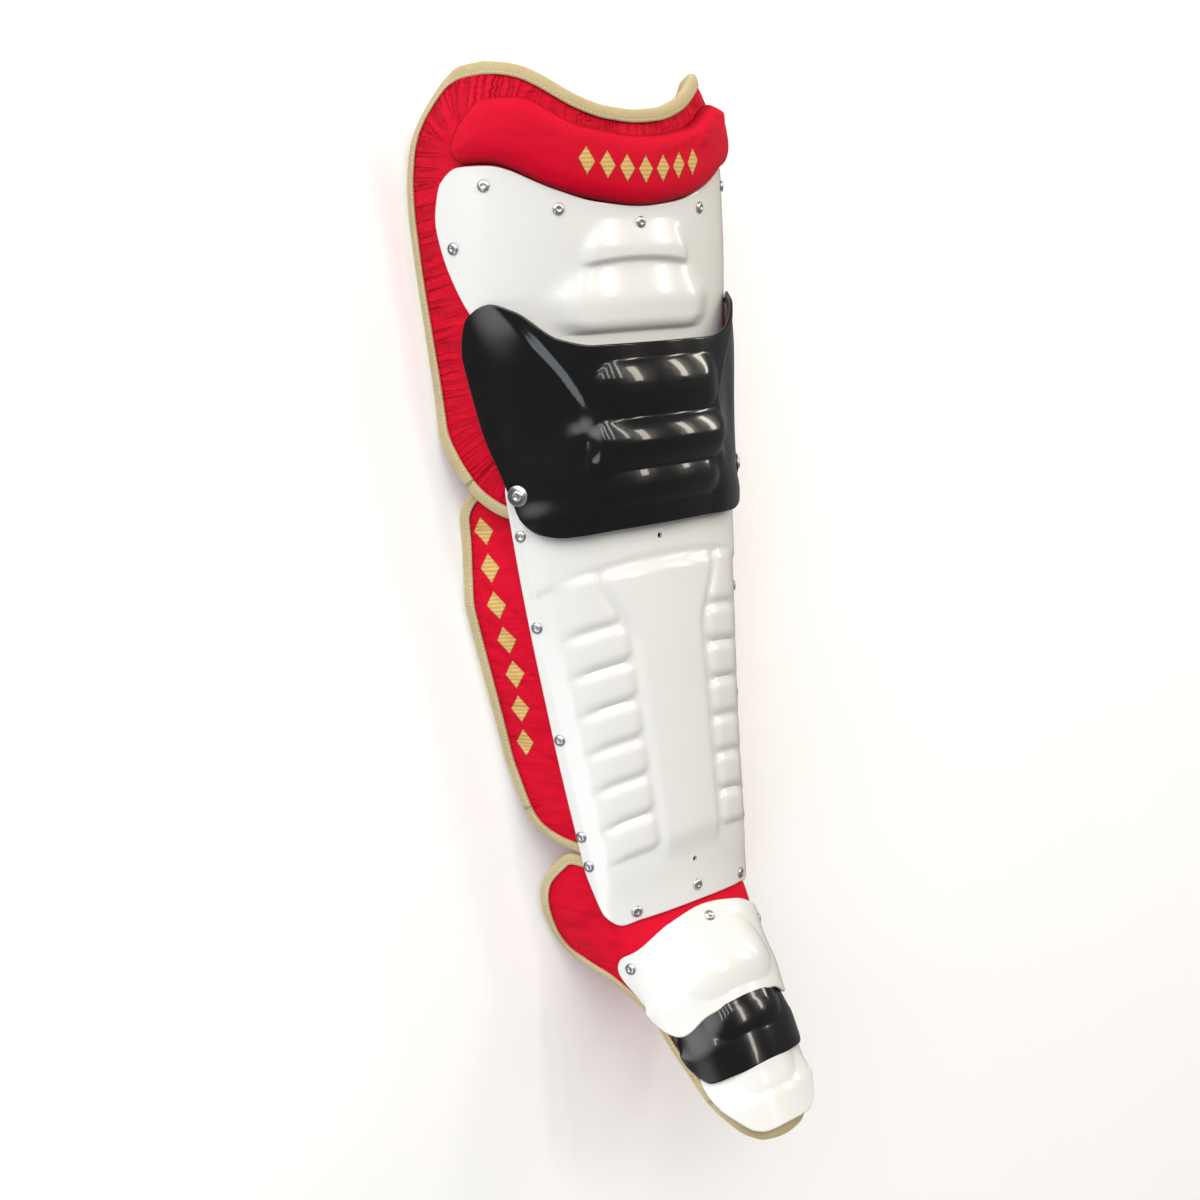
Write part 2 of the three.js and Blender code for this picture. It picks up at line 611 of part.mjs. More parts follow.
let shinSolid = drilled(shinShell, shinRivets);
for (const { y } of SHIN_HOLES) {
  shinSolid = shinSolid.subtract(drill(seatOn(shinShell, 0, y), SHIN_HOLE_RADIUS));
}
let capSolid = panelSolid(kneeCap);
for (const { seat } of pivotSeats) {
  const shinPoint = seat.point.clone().addScaledVector(seat.normal, -PIVOT_DEPTH);
  capSolid = capSolid.subtract(drill(seat, SCREW_HOLE));
  shinSolid = shinSolid.subtract(drill({ ...seat, point: shinPoint }, PIVOT_HOLE));
}

// Colours of the finished pieces
const RED = 0xc4102e;
const KHAKI = 0xb9ab80;
const WHITE = 0xeeebe4;
const BLACK = 0x141416;
const STEEL = 0xb4b6ba;

const pieces = [
  { name: "foot_liner", solid: linerSolid(footLiner), color: RED },
  { name: "foot_binding", solid: bindingSolid(footLiner).subtract(FLOOR_CUT), color: KHAKI },
  { name: "toe_plate", solid: panelSolid(toePlate), color: WHITE },
  { name: "toe_band", solid: panelSolid(toeBand), color: BLACK },
  { name: "instep_plate", solid: drilled(instepPlate, instepRivets), color: WHITE },
  { name: "calf_liner", solid: linerSolid(calfLiner), color: RED },
  { name: "calf_binding", solid: bindingSolid(calfLiner).subtract(FLOOR_CUT), color: KHAKI },
  { name: "shin_shell", solid: shinSolid, color: WHITE },
  { name: "thigh_liner", solid: linerSolid(thighLiner), color: RED },
  { name: "thigh_binding", solid: bindingSolid(thighLiner).subtract(FLOOR_CUT), color: KHAKI },
  { name: "thigh_shell", solid: drilled(thighShell, thighRivets), color: WHITE },
  { name: "thigh_bolster", solid: panelSolid(thighBolster), color: RED },
  { name: "knee_cap", solid: capSolid, color: BLACK },
];
for (const { name, seat } of [...instepRivets, ...shinRivets, ...thighRivets]) {
  pieces.push({ name, solid: turnedSolid(RIVET_PROFILE, ROUND_SIDES, seat), color: STEEL });
}
for (const { name, seat } of pivotSeats) {
  pieces.push({ name, solid: turnedSolid(SCREW_PROFILE, SCREW_SIDES, seat), color: STEEL });
}

// Mesh of a finished solid
function meshOf({ name, solid, color }) {
  const { vertProperties, triVerts, numProp } = solid.getMesh();
  const geometry = new THREE.BufferGeometry();
  const positions = [];
  for (let k = 0; k < vertProperties.length; k += numProp) positions.push(...vertProperties.slice(k, k + 3));
  geometry.setAttribute("position", new THREE.Float32BufferAttribute(positions, 3));
  geometry.setIndex(Array.from(triVerts));
  const mesh = new THREE.Mesh(geometry, new THREE.MeshStandardMaterial({ color }));
  mesh.name = name;
  return mesh;
}

const pad = new THREE.Group();
pad.name = "goalie_leg_pad";
for (const piece of pieces) pad.add(meshOf(piece));
export default pad;
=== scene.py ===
# Goalkeeper leg pad: its finished look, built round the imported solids.
# Sizes are in millimetres. X runs across the leg, +Y up it to the thigh and +Z away from it,
# and the pad lies on its open back with Z = 0 as the floor.
import math

import bpy
import numpy as np
from mathutils import Matrix
from mathutils.kdtree import KDTree


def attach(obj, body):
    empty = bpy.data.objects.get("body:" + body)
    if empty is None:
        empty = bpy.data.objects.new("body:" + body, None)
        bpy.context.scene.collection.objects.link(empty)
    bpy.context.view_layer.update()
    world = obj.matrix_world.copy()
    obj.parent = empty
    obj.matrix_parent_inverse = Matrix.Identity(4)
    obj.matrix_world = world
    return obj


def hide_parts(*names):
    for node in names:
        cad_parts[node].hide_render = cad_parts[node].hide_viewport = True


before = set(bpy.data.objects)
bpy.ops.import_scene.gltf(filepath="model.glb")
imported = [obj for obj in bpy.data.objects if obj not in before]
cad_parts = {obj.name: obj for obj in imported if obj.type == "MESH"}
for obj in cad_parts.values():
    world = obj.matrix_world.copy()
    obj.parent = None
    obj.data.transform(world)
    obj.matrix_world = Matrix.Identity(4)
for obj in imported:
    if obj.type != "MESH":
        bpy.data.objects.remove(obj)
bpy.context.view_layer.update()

# Foot liner
# A foam pad in red nylon over the instep and toes, with a short wing on each side of the ankle.
# Its nylon is gathered into the edge seam, so that it puckers all along the tape.
MM = 0.001
LINER_EDGE = 6.0
EDGE_DROP = 3.0
EDGE_ROLL = 26.0
FOLD_FADE = 12.0
FOLD_START = 0.25
PADDING_FROM = 13.0
PADDING_FULL = 60.0
LINER_CLEAR = 0.8
PUCKER_DRAWS = 4096
TURN_STEP = 0.02
Y_STEP = 1.0


def table(columns, *rows):
    """Rows of sizes as one array for each named column."""
    return dict(zip(columns.split(), np.array(rows, float).T))


FOOT_FORM = table(
    "y half_width rise crown wing_from",
    (-460, 60, 26, 186, 80),
    (-410, 60, 38, 167, 80),
    (-360, 65, 48, 148, 80),
    (-310, 75, 54, 126, 80),
    (-278, 79, 47.5, 108, 76.5),
    (-255, 83, 40, 91.4, 75),
    (-200, 88, 40, 93.4, 77),
)
FOOT_EDGE = table(
    "y edge",
    (-455, 181), (-432, 163), (-410, 141), (-380, 115), (-351, 95), (-337, 79), (-328, 66), (-321, 53),
    (-313, 33.5), (-304, 17), (-295, 10), (-287, 8), (-278, 7), (-254, 9.2), (-229, 10.5), (-211, 17),
)


def along(rows, key, column, at):
    """Value of a column at a key, on a smooth curve through the rows that never overshoots."""
    x, y = rows[key], rows[column]
    slope = np.diff(y) / np.diff(x)
    before = np.concatenate([slope[:1], slope])
    after = np.concatenate([slope, slope[-1:]])
    same = before * after > 0
    tangent = np.where(same, 2 * before * after / np.where(same, before + after, 1), 0)
    # An edge along s is level on the middle line, where it meets its own mirror image.
    if key == "s":
        tangent[0] = 0
    at = np.clip(at, x[0], x[-1])
    i = np.clip(np.searchsorted(x, at, side="right") - 1, 0, len(x) - 2)
    width = x[i + 1] - x[i]
    f = (at - x[i]) / width
    bend = width * f * (1 - f) * ((1 - f) * tangent[i] - f * tangent[i + 1])
    return (1 + 2 * f) * (1 - f) ** 2 * y[i] + f * f * (3 - 2 * f) * y[i + 1] + bend


def ease(start, end, at):
    """Share from 0 to 1, eased at both ends, of the way from one value to another."""
    f = np.clip((at - start) / (end - start), 0, 1)
    return f * f * (3 - 2 * f)


def unit(vectors):
    """The same directions with a length of one."""
    return vectors / np.linalg.norm(vectors, axis=-1, keepdims=True)


def form_point(form, turn, y):
    """Point of a form at a turn (radians round the leg from its front) and a y."""
    half_width = along(form, "y", "half_width", y)
    rise = along(form, "y", "rise", y)
    centre = along(form, "y", "crown", y) - rise
    bend = np.radians(along(form, "y", "wing_from", y))
    swing = np.minimum(np.abs(turn), bend)
    run = np.abs(turn) - swing
    x = half_width * (np.sin(swing) + run * np.cos(swing))
    z = centre + rise * (np.cos(swing) - run * np.sin(swing))
    return np.stack([np.sign(turn) * x, y + 0 * x, z], -1)


def form_normal(form, turn, y):
    """Outward normal of a form."""
    across = form_point(form, turn + TURN_STEP, y) - form_point(form, turn - TURN_STEP, y)
    upward = form_point(form, turn, y + Y_STEP) - form_point(form, turn, y - Y_STEP)
    return unit(np.cross(across, upward))


def lifted(form, turn, y, height):
    """Point at a height above a form."""
    return form_point(form, turn, y) + form_normal(form, turn, y) * np.asarray(height)[..., None]


def edge_turn(form, outline, y):
    """Turn at which a form comes down to the height of an outline's edge."""
    rise = along(form, "y", "rise", y)
    centre = along(form, "y", "crown", y) - rise
    bend = np.radians(along(form, "y", "wing_from", y))
    above = (along(outline, "y", "edge", y) - centre) / rise
    straight = bend + (np.cos(bend) - above) / np.sin(bend)
    return np.where(above > np.cos(bend), np.arccos(np.clip(above, -1, 1)), straight)


def spread(count):
    """Places from -1 to 1 that close up towards both ends."""
    t = np.linspace(-1, 1, count)
    return 1.5 * t - 0.5 * t**3


def panel_limits(panel, side):
    """The lowest and highest y of a panel at a share of the way to its side, its corners rounded."""
    cuts = []
    for corner in panel["corners"]:
        near = np.clip(1 - (1 - side) * panel["half_arc"] / corner, 0, 1)
        cuts.append(corner * (1 - np.sqrt(1 - near**2)))
    return along(panel["bottom"], "s", "y", side) + cuts[0], along(panel["top"], "s", "y", side) - cuts[1]


def panel_cells(panel, columns, rows):
    """The grid of a panel: side s from -1 to 1, share v from 0 to 1 up it, y, turn and x."""
    s, v = np.meshgrid(spread(columns), (spread(rows) + 1) / 2, indexing="ij")
    low, high = panel_limits(panel, np.abs(s))
    arch = panel.get("arch", 0) * s * s * np.clip(5 * np.minimum(v, 1 - v), 0, 1)
    y = low + (high - low) * v - arch
    turn = s * panel["reach"](y)
    return {"s": s, "v": v, "y": y, "turn": turn, "x": form_point(panel["form"], turn, y)[..., 0]}


def rim_of(columns, rows):
    """Places of a grid round its rim, anticlockwise seen from outside."""
    right, top = columns - 1, rows - 1
    bottom_row = [(i, 0) for i in range(right)]
    right_side = [(right, j) for j in range(top)]
    top_row = [(i, top) for i in range(right, 0, -1)]
    left_side = [(0, j) for j in range(top, 0, -1)]
    return tuple(np.array(bottom_row + right_side + top_row + left_side).T)


def rim_distances(panel, grid):
    """How far each cell lies from the rim, and how far round the rim the nearest point of it is."""
    surface = form_point(panel["form"], grid["turn"], grid["y"])
    rim = surface[rim_of(*grid["s"].shape)]
    steps = np.linalg.norm(np.roll(rim, -1, 0) - rim, axis=1)
    travelled = np.concatenate([[0], np.cumsum(steps)[:-1]])
    tree = KDTree(len(rim))
    for k, point in enumerate(rim):
        tree.insert(point, k)
    tree.balance()
    found = [tree.find(point) for point in surface.reshape(-1, 3)]
    inset = np.array([hit[2] for hit in found]).reshape(grid["s"].shape)
    arc = travelled[[hit[1] for hit in found]].reshape(grid["s"].shape)
    return inset, arc


def gathered(arc, past, pitch, reach, seed):
    """Height from 0 to 1 of the puckers beside a sewn edge: round ridges with tight valleys."""
    lengths, heights = np.random.default_rng(seed).random((2, PUCKER_DRAWS))
    lean = 0.16 * past * np.sin(arc / 61 + seed)
    wander = 0.4 * np.sin(arc / 37 + seed)
    jitter = 0.25 * np.sin(arc / 15 + 2 * seed)
    warped = (arc + lean) / pitch + wander + jitter
    cell = np.floor(warped).astype(int) % PUCKER_DRAWS
    ridge = np.sin(math.pi * (warped - np.floor(warped))) ** 0.75
    length = reach * (0.35 + 0.65 * lengths[cell])
    fade = ease(-1, 8, past) * (1 - ease(0.25, 1.0, past / length))
    patchy = 0.62 + 0.38 * np.sin(arc / 83 + 1.7 * seed)
    return (0.3 + 0.7 * heights[cell]) * ridge * fade * patchy


def grid_faces(columns, rows):
    """Four-sided faces of a grid of points, facing out."""
    at = np.arange(columns * rows).reshape(columns, rows)
    corners = [at[:-1, :-1], at[1:, :-1], at[1:, 1:], at[:-1, 1:]]
    return np.stack(corners, -1).reshape(-1, 4)


def slab(outer, inner, lip_loops):
    """Closed wall between two grids of points, with its rim rounded by a number of loops."""
    columns, rows = outer.shape[:2]
    count = columns * rows
    rim = rim_of(columns, rows)
    ring = rim[0] * rows + rim[1]
    middle = (outer[rim] + inner[rim]) / 2
    half = (outer[rim] - inner[rim]) / 2
    outward = unit(np.cross(np.roll(middle, -1, 0) - np.roll(middle, 1, 0), half))
    thick = np.linalg.norm(half, axis=1, keepdims=True)
    points = [outer.reshape(-1, 3), inner.reshape(-1, 3)]
    faces = [grid_faces(columns, rows), grid_faces(columns, rows)[:, ::-1] + count]
    rings = [ring]
    for k in range(lip_loops):
        angle = math.pi * (k + 1) / (lip_loops + 1)
        points.append(middle + half * math.cos(angle) + outward * thick * math.sin(angle))
        rings.append(2 * count + k * len(ring) + np.arange(len(ring)))
    rings.append(ring + count)
    for near, far in zip(rings, rings[1:]):
        faces.append(np.stack([np.roll(near, -1), near, far, np.roll(far, -1)], -1))
    return np.concatenate(points), np.concatenate(faces)


def make_piece(name, points, faces, finishes, face_finish=None, maps=None):
    """A smooth mesh object from points in millimetres, with its materials and its UV maps."""
    mesh = bpy.data.meshes.new(name)
    face_rows = faces if isinstance(faces, list) else faces.tolist()
    mesh.from_pydata((points * MM).tolist(), [], face_rows)
    mesh.polygons.foreach_set("use_smooth", np.ones(len(faces), bool))
    for finish in finishes:
        mesh.materials.append(finish)
    if face_finish is not None:
        mesh.polygons.foreach_set("material_index", face_finish.astype(np.int32))
    corners = np.zeros(len(mesh.loops), np.int32)
    mesh.loops.foreach_get("vertex_index", corners)
    for map_name, places in (maps or {}).items():
        layer = mesh.uv_layers.new(name=map_name)
        layer.data.foreach_set("uv", places[corners].astype(np.float32).ravel())
    mesh.update()
    piece = bpy.data.objects.new(name, mesh)
    bpy.context.scene.collection.objects.link(piece)
    return piece


def across_of(panel, grid):
    """How far round the surface each cell lies from the middle line."""
    surface = form_point(panel["form"], grid["turn"], grid["y"])
    steps = np.linalg.norm(np.diff(surface, axis=0), axis=-1)
    travelled = np.concatenate([np.zeros((1, steps.shape[1])), np.cumsum(steps, axis=0)])
    return travelled - travelled[-1:] / 2


def cloth_maps(panel, grid, inset, arc, motif):
    """UV maps of a fabric piece: its weave, the way along and in from its seam, and its needlework."""
    weave = np.stack([across_of(panel, grid), grid["y"]], -1) * MM
    seam = np.stack([arc, inset], -1) * MM
    layers = {"weave": weave, "seam": seam, "motif": motif}
    return {name: np.tile(places.reshape(-1, 2), (2, 1)) for name, places in layers.items()}


def settle(piece, body, slot, *nodes):
    """The piece rides on a body and stands for the solids named, which are hidden; the slot is not used.
    """
    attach(piece, body)
    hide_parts(*nodes)
    return piece


def add_node(tree, kind, inputs, **settings):
    """A node of a material with its settings and its inputs, each a value or another's output."""
    node = tree.nodes.new(kind)
    for name, value in settings.items():
        setattr(node, name, value)
    for name, value in inputs.items():
        if isinstance(value, bpy.types.NodeSocket):
            tree.links.new(value, node.inputs[name])
        else:
            node.inputs[name].default_value = value
    return node


def new_finish(name, sockets):
    """A material whose shader has these constant values, with its nodes and its shader."""
    finish = bpy.data.materials.new(name)
    finish.use_nodes = True
    shader = finish.node_tree.nodes["Principled BSDF"]
    for socket, value in sockets.items():
        shader.inputs[socket].default_value = value
    return finish, finish.node_tree, shader


def blotches(tree, scale, detail, low, high):
    """A soft noise over the whole pad, spread between two values."""
    place = add_node(tree, "ShaderNodeTexCoord", {})
    noise = add_node(
        tree, "ShaderNodeTexNoise", {"Vector": place.outputs["Object"], "Scale": scale, "Detail": detail}
    )
    spread_out = add_node(
        tree, "ShaderNodeMapRange", {"Value": noise.outputs["Fac"], "From Min": 0.15, "From Max": 0.85,
                                     "To Min": low, "To Max": high}
    )
    return spread_out.outputs["Result"]


def mixed_colour(tree, share, first, second):
    """A colour between two, by a share."""
    mix = add_node(
        tree, "ShaderNodeMix", {"Factor": share, "A": first, "B": second}, data_type="RGBA"
    )
    return mix.outputs["Result"]


def mottled(tree, shader, scale, detail, first, second):
    """A base colour that drifts between two, in blotches."""
    colour = mixed_colour(tree, blotches(tree, scale, detail, 0, 1), first, second)
    tree.links.new(colour, shader.inputs["Base Color"])


def bumped(tree, height, distance, under=None):
    """A bump of a depth in metres, over another bump if there is one."""
    inputs = {"Height": height, "Distance": distance, "Strength": 1.0}
    if under is not None:
        inputs["Normal"] = under
    return add_node(tree, "ShaderNodeBump", inputs).outputs["Normal"]


def math_node(tree, operation, *values):
    """A sum done in a material, each value a number or another's output."""
    inputs = dict(enumerate(values))
    return add_node(tree, "ShaderNodeMath", inputs, operation=operation).outputs[0]


def map_axes(tree, map_name):
    """The two coordinates of a UV map."""
    place = add_node(tree, "ShaderNodeUVMap", {}, uv_map=map_name)
    split = add_node(tree, "ShaderNodeSeparateXYZ", {"Vector": place.outputs["UV"]})
    return split.outputs["X"], split.outputs["Y"]


def thread_wave(tree, axis, pitch):
    """Threads side by side along one axis of the weave map, as a wave from -1 to 1."""
    turns = math_node(tree, "MULTIPLY", map_axes(tree, "weave")[axis], 2 * math.pi / pitch)
    return math_node(tree, "SINE", turns)


def stepped(tree, value, start, end):
    """A soft step from 0 to 1 between two values."""
    inputs = {"Value": value, "From Min": start, "From Max": end}
    return add_node(
        tree, "ShaderNodeMapRange", inputs, interpolation_type="SMOOTHSTEP"
    ).outputs["Result"]


def drawn_folds(tree, map_name, turn, scale, detail):
    """Long folds side by side on a UV map, at a turn and with a scale along each axis of it."""
    place = add_node(tree, "ShaderNodeUVMap", {}, uv_map=map_name)
    laid = add_node(
        tree, "ShaderNodeMapping",
        {"Vector": place.outputs["UV"], "Rotation": (0, 0, turn), "Scale": (scale[0], scale[1], 1)},
    )
    noise = add_node(
        tree, "ShaderNodeTexNoise",
        {"Vector": laid.outputs["Vector"], "Scale": 1, "Detail": detail, "Distortion": 0.4},
        noise_dimensions="2D",
    )
    return noise.outputs["Fac"]


LOZENGES = 7
LOZENGE_REACH = 0.42


def lozenge_row(tree):
    """Where the needlework is: a row of lozenges along the motif map, one to each unit of it."""
    along_row, across_row = map_axes(tree, "motif")
    inside = math_node(tree, "COMPARE", along_row, LOZENGES / 2, LOZENGES / 2)
    off_middle = math_node(tree, "SUBTRACT", math_node(tree, "FRACT", along_row), 0.5)
    in_cell = math_node(tree, "DIVIDE", math_node(tree, "ABSOLUTE", off_middle), LOZENGE_REACH)
    reach = math_node(tree, "ADD", in_cell, math_node(tree, "ABSOLUTE", across_row))
    return math_node(tree, "MULTIPLY", inside, stepped(tree, reach, 1.0, 0.86))


RED_DEEP = (0.57, 0.0004, 0.017, 1)
RED_BRIGHT = (0.66, 0.0008, 0.023, 1)
# The last red is painted shade: a dark red mixed in where shade would fall, in the pucker creases and
# along the seams.
RED_PAINTED_SHADE = (0.17, 0.0002, 0.005, 1)
GOLD_DEEP = (0.50, 0.30, 0.085, 1)
GOLD_BRIGHT = (0.76, 0.52, 0.2, 1)
WEAVE_PITCH = 0.0011
WEAVE_DEPTH = 0.00007
NEEDLEWORK_RISE = 0.0011


def red_nylon(name, puckers, slack, reach, shadow):
    """Woven nylon with puckers by its seams, slack folds and gold needlework, its sizes in metres; painted
    shade darkens its pucker creases and a painted shadow runs along its seams.
    """
    finish, tree, shader = new_finish(name, {"Roughness": 0.55, "Specular IOR Level": 0.1})
    inset = map_axes(tree, "seam")[1]
    close = math_node(
        tree, "MULTIPLY", stepped(tree, inset, 0.006, 0.010), stepped(tree, inset, reach, 0.3 * reach)
    )
    pucker = drawn_folds(tree, "seam", 0, (115, 4), 1)
    off_crease = math_node(tree, "ABSOLUTE", math_node(tree, "SUBTRACT", pucker, 0.5))
    patchy = math_node(tree, "MULTIPLY", close, blotches(tree, 14, 2, 0.0, 1.25))
    crease = math_node(tree, "MULTIPLY", stepped(tree, off_crease, 0.11, 0), patchy)
    loose = drawn_folds(tree, "weave", 0.5, (16, 60), 2)
    worked = lozenge_row(tree)

    share = blotches(tree, 22, 4, 0, 1)
    plain = mixed_colour(tree, share, RED_DEEP, RED_BRIGHT)
    # Painted shadow along the seam: within 4 mm of it the red is mixed up to 0.7 of the way to the painted
    # shade colour.
    painted_seam_shadow = math_node(tree, "MULTIPLY", stepped(tree, inset, 0.004, 0), 0.7)
    # Painted shade in the pucker creases, scaled by shadow, taken with the painted seam shadow wherever
    # that is darker.
    shade = math_node(tree, "MAXIMUM", math_node(tree, "MULTIPLY", crease, shadow), painted_seam_shadow)
    red_with_painted_shade = mixed_colour(tree, shade, plain, RED_PAINTED_SHADE)
    strand = math_node(tree, "ADD", thread_wave(tree, 0, 0.0016), thread_wave(tree, 1, 0.0034))
    gold = mixed_colour(tree, stepped(tree, strand, -1.4, 1.4), GOLD_DEEP, GOLD_BRIGHT)
    tree.links.new(mixed_colour(tree, worked, red_with_painted_shade, gold), shader.inputs["Base Color"])

    warp, weft = thread_wave(tree, 0, WEAVE_PITCH), thread_wave(tree, 1, WEAVE_PITCH)
    cloth = math_node(tree, "MULTIPLY", warp, weft)
    normal = bumped(tree, math_node(tree, "MULTIPLY", crease, -1.0), puckers)
    normal = bumped(tree, loose, slack, normal)
    normal = bumped(tree, blotches(tree, 75, 5, 0, 1), 0.15 * slack, normal)
    normal = bumped(tree, cloth, WEAVE_DEPTH, normal)
    normal = bumped(tree, worked, NEEDLEWORK_RISE, normal)
    tree.links.new(normal, shader.inputs["Normal"])
    return finish


NYLON = red_nylon("red_nylon", puckers=0.0007, slack=0.0036, reach=0.018, shadow=0.3)
FOOT_LINER = {
    "form": FOOT_FORM,
    "reach": lambda y: edge_turn(FOOT_FORM, FOOT_EDGE, y),
    "bottom": table("s y", (0, -452), (0.6, -450), (1, -438)),
    "top": table("s y", (0, -216), (0.45, -214), (0.56, -210.5), (0.66, -206.5), (0.76, -205), (1, -211)),
    "corners": (20.0, 42.0),
    "half_arc": 150.0,
    "tape": 6.8,
    "seat": lambda y: 0 * y,
    "thickness": lambda y: 14 + 0 * y,
}
NO_MOTIF = 9.0


def no_motif(panel, grid):
    """A motif map with no needlework on it."""
    return np.full(grid["s"].shape + (2,), NO_MOTIF)


def make_liner(name, panel, columns, rows, finish, puckers, folds, motif=no_motif):
    """A padded liner: thin in its edge seam, full in its middle, puckered and folded outside."""
    grid = panel_cells(panel, columns, rows)
    inset, arc = rim_distances(panel, grid)
    seat = panel["seat"](grid["y"])
    padding = panel["thickness"](grid["y"]) - LINER_EDGE - EDGE_DROP
    past = inset - panel["tape"]
    outer = -EDGE_DROP * (1 - ease(0, EDGE_ROLL, past))
    outer += puckers["rise"] * gathered(arc, past, puckers["pitch"], puckers["reach"], puckers["seed"])
    outer += folds(grid) * ease(0, FOLD_FADE, past)
    outer = seat + np.minimum(outer, LINER_CLEAR)
    inner = seat - EDGE_DROP - LINER_EDGE - padding * ease(PADDING_FROM, PADDING_FULL, inset)
    outer_points = lifted(panel["form"], grid["turn"], grid["y"], outer)
    inner_points = lifted(panel["form"], grid["turn"], grid["y"], inner)
    points, faces = slab(outer_points, inner_points, 0)
    maps = cloth_maps(panel, grid, inset, arc, motif(panel, grid))
    piece = make_piece(name + "_nylon", points, faces, [finish], maps=maps)
    return settle(piece, "pad", "red_fabric", name)


def line_folds(grid, rows):
    """Creases across the wings, each at a y and on a slope, deepest past a turn."""
    turn = np.abs(grid["turn"])
    height = 0
    for y, depth, width, from_turn, slope in zip(*rows.values()):
        off = grid["y"] - y - slope * (turn - from_turn)
        shown = ease(from_turn - FOLD_START, from_turn, turn)
        height = height - depth * np.exp(-((off / width) ** 2)) * shown
    return height


FOOT_FOLDS = table(
    "y depth width from_turn slope",
    (-268, 1.2, 8, 1.5, -14),
    (-286, 1.0, 6, 1.6, 18),
)
SEAM_TURN = 1.18
SEAM_Y = -262.0
SEAM_LEAN = 0.0086
SEAM_HALF = 0.035
SEAM_DEPTH = 1.9


def foot_folds(grid):
    """The seam down from each ankle wing to the foot, and the slack beside it."""
    y = grid["y"]
    off_seam = (np.abs(grid["turn"]) - SEAM_TURN + SEAM_LEAN * (y - SEAM_Y)) / SEAM_HALF
    seam = -SEAM_DEPTH * np.exp(-(off_seam**2)) * ease(-320, -306, y) * ease(-248, -258, y)
    return seam + line_folds(grid, FOOT_FOLDS)


make_liner(
    "foot_liner", FOOT_LINER, 130, 130, NYLON,
    {"rise": 0.7, "pitch": 10.0, "reach": 12.0, "seed": 3}, foot_folds,
)

# Foot binding
# Khaki tape folded over the raw edge of the foot liner and sewn through with a row of pale thread.
# The other liners have the same binding, which is pressed flat where it meets the floor.
TAPE_SLOT = 3.3
TAPE_FOLD = 2.0
TAPE_FACE = 4.8
TAPE_LAP = 0.2
TAPE_SPACING = 3.4
STITCH_INSET = 1.9
STITCH_SINK = 0.5
STITCH_PITCH = 3.6
STITCH_LENGTH = 2.6
STITCH_HALF = 0.42
GRAIN_SIDES = 6
RIM_CELLS = 240


def tape_section(width):
    """Places round the folded tape, each as out from the liner's edge and up from its middle."""
    lip = -width - TAPE_LAP
    share = np.linspace(0, 1, 12)
    out = lip + (TAPE_FOLD - lip) * np.sin(share * math.pi / 2)
    up = TAPE_FACE * np.cos(share * math.pi / 2) ** 0.55
    up -= STITCH_SINK * np.exp(-(((out - lip - STITCH_INSET) / 0.9) ** 2))
    front = np.stack([out, up], -1)
    back = front[-2::-1] * (1, -1)
    inside = np.array([(lip, -TAPE_SLOT), (0.4, -TAPE_SLOT), (0.8, -2), (0.8, 2),
                       (0.4, TAPE_SLOT), (lip, TAPE_SLOT)])
    return np.concatenate([front, back, inside])


def rim_stations(panel, spacing):
    """Evenly spaced points round a liner's edge, with the way out of the edge and the way up from it."""
    grid = panel_cells(panel, RIM_CELLS, RIM_CELLS)
    rim = rim_of(RIM_CELLS, RIM_CELLS)
    turn, y = grid["turn"][rim], grid["y"][rim]
    middle = lifted(panel["form"], turn, y, panel["seat"](y) - EDGE_DROP - LINER_EDGE / 2)
    normal = form_normal(panel["form"], turn, y)
    loop = np.concatenate([middle, middle[:1]])
    travelled = np.concatenate([[0], np.cumsum(np.linalg.norm(np.diff(loop, axis=0), axis=1))])
    count = int(travelled[-1] / spacing)
    at = travelled[-1] * np.arange(count) / count
    closed = np.concatenate([normal, normal[:1]])
    point = np.stack([np.interp(at, travelled, loop[:, k]) for k in range(3)], -1)
    facing = unit(np.stack([np.interp(at, travelled, closed[:, k]) for k in range(3)], -1))
    onward = unit(np.roll(point, -2, 0) - np.roll(point, 2, 0))
    outward = unit(np.cross(onward, facing))
    return at, point, onward, outward, unit(np.cross(outward, onward))


def swept(section, point, outward, upward):
    """A closed section carried round a closed loop of stations."""
    count, sides = len(point), len(section)
    points = (
        point[:, None] + outward[:, None] * section[None, :, :1] + upward[:, None] * section[None, :, 1:]
    ).reshape(-1, 3)
    at = np.arange(count * sides).reshape(count, sides)
    onward, round_it = np.roll(at, -1, 0), np.roll(at, -1, 1)
    both = np.roll(onward, -1, 1)
    return points, np.stack([at, round_it, both, onward], -1).reshape(-1, 4)


def stitch_row(point, onward, outward, upward, length, width):
    """Short stitches, each a thin grain of thread laid along a seam."""
    rings = np.array([(-0.5, 0.35), (-0.25, 1.0), (0.25, 1.0), (0.5, 0.35)])
    angles = 2 * math.pi * np.arange(GRAIN_SIDES) / GRAIN_SIDES
    grains = [
        point + onward * length * place + outward * (width * wide * math.cos(angle))
        + upward * (width * wide * math.sin(angle))
        for place, wide in rings for angle in angles
    ]
    points = np.stack(grains, 1).reshape(-1, 3)
    at = np.arange(len(rings) * GRAIN_SIDES).reshape(len(rings), GRAIN_SIDES)
    nxt = np.roll(at, -1, 1)
    sides = np.stack([at[:-1], nxt[:-1], nxt[1:], at[1:]], -1).reshape(-1, 4)
    near, far = at[0], at[-1]
    ends = [near[[0, 5, 4, 3]], near[[0, 3, 2, 1]], far[[0, 1, 2, 3]], far[[0, 3, 4, 5]]]
    one = np.concatenate([sides, ends])
    return points, (one[None] + at.size * np.arange(len(point))[:, None, None]).reshape(-1, 4)


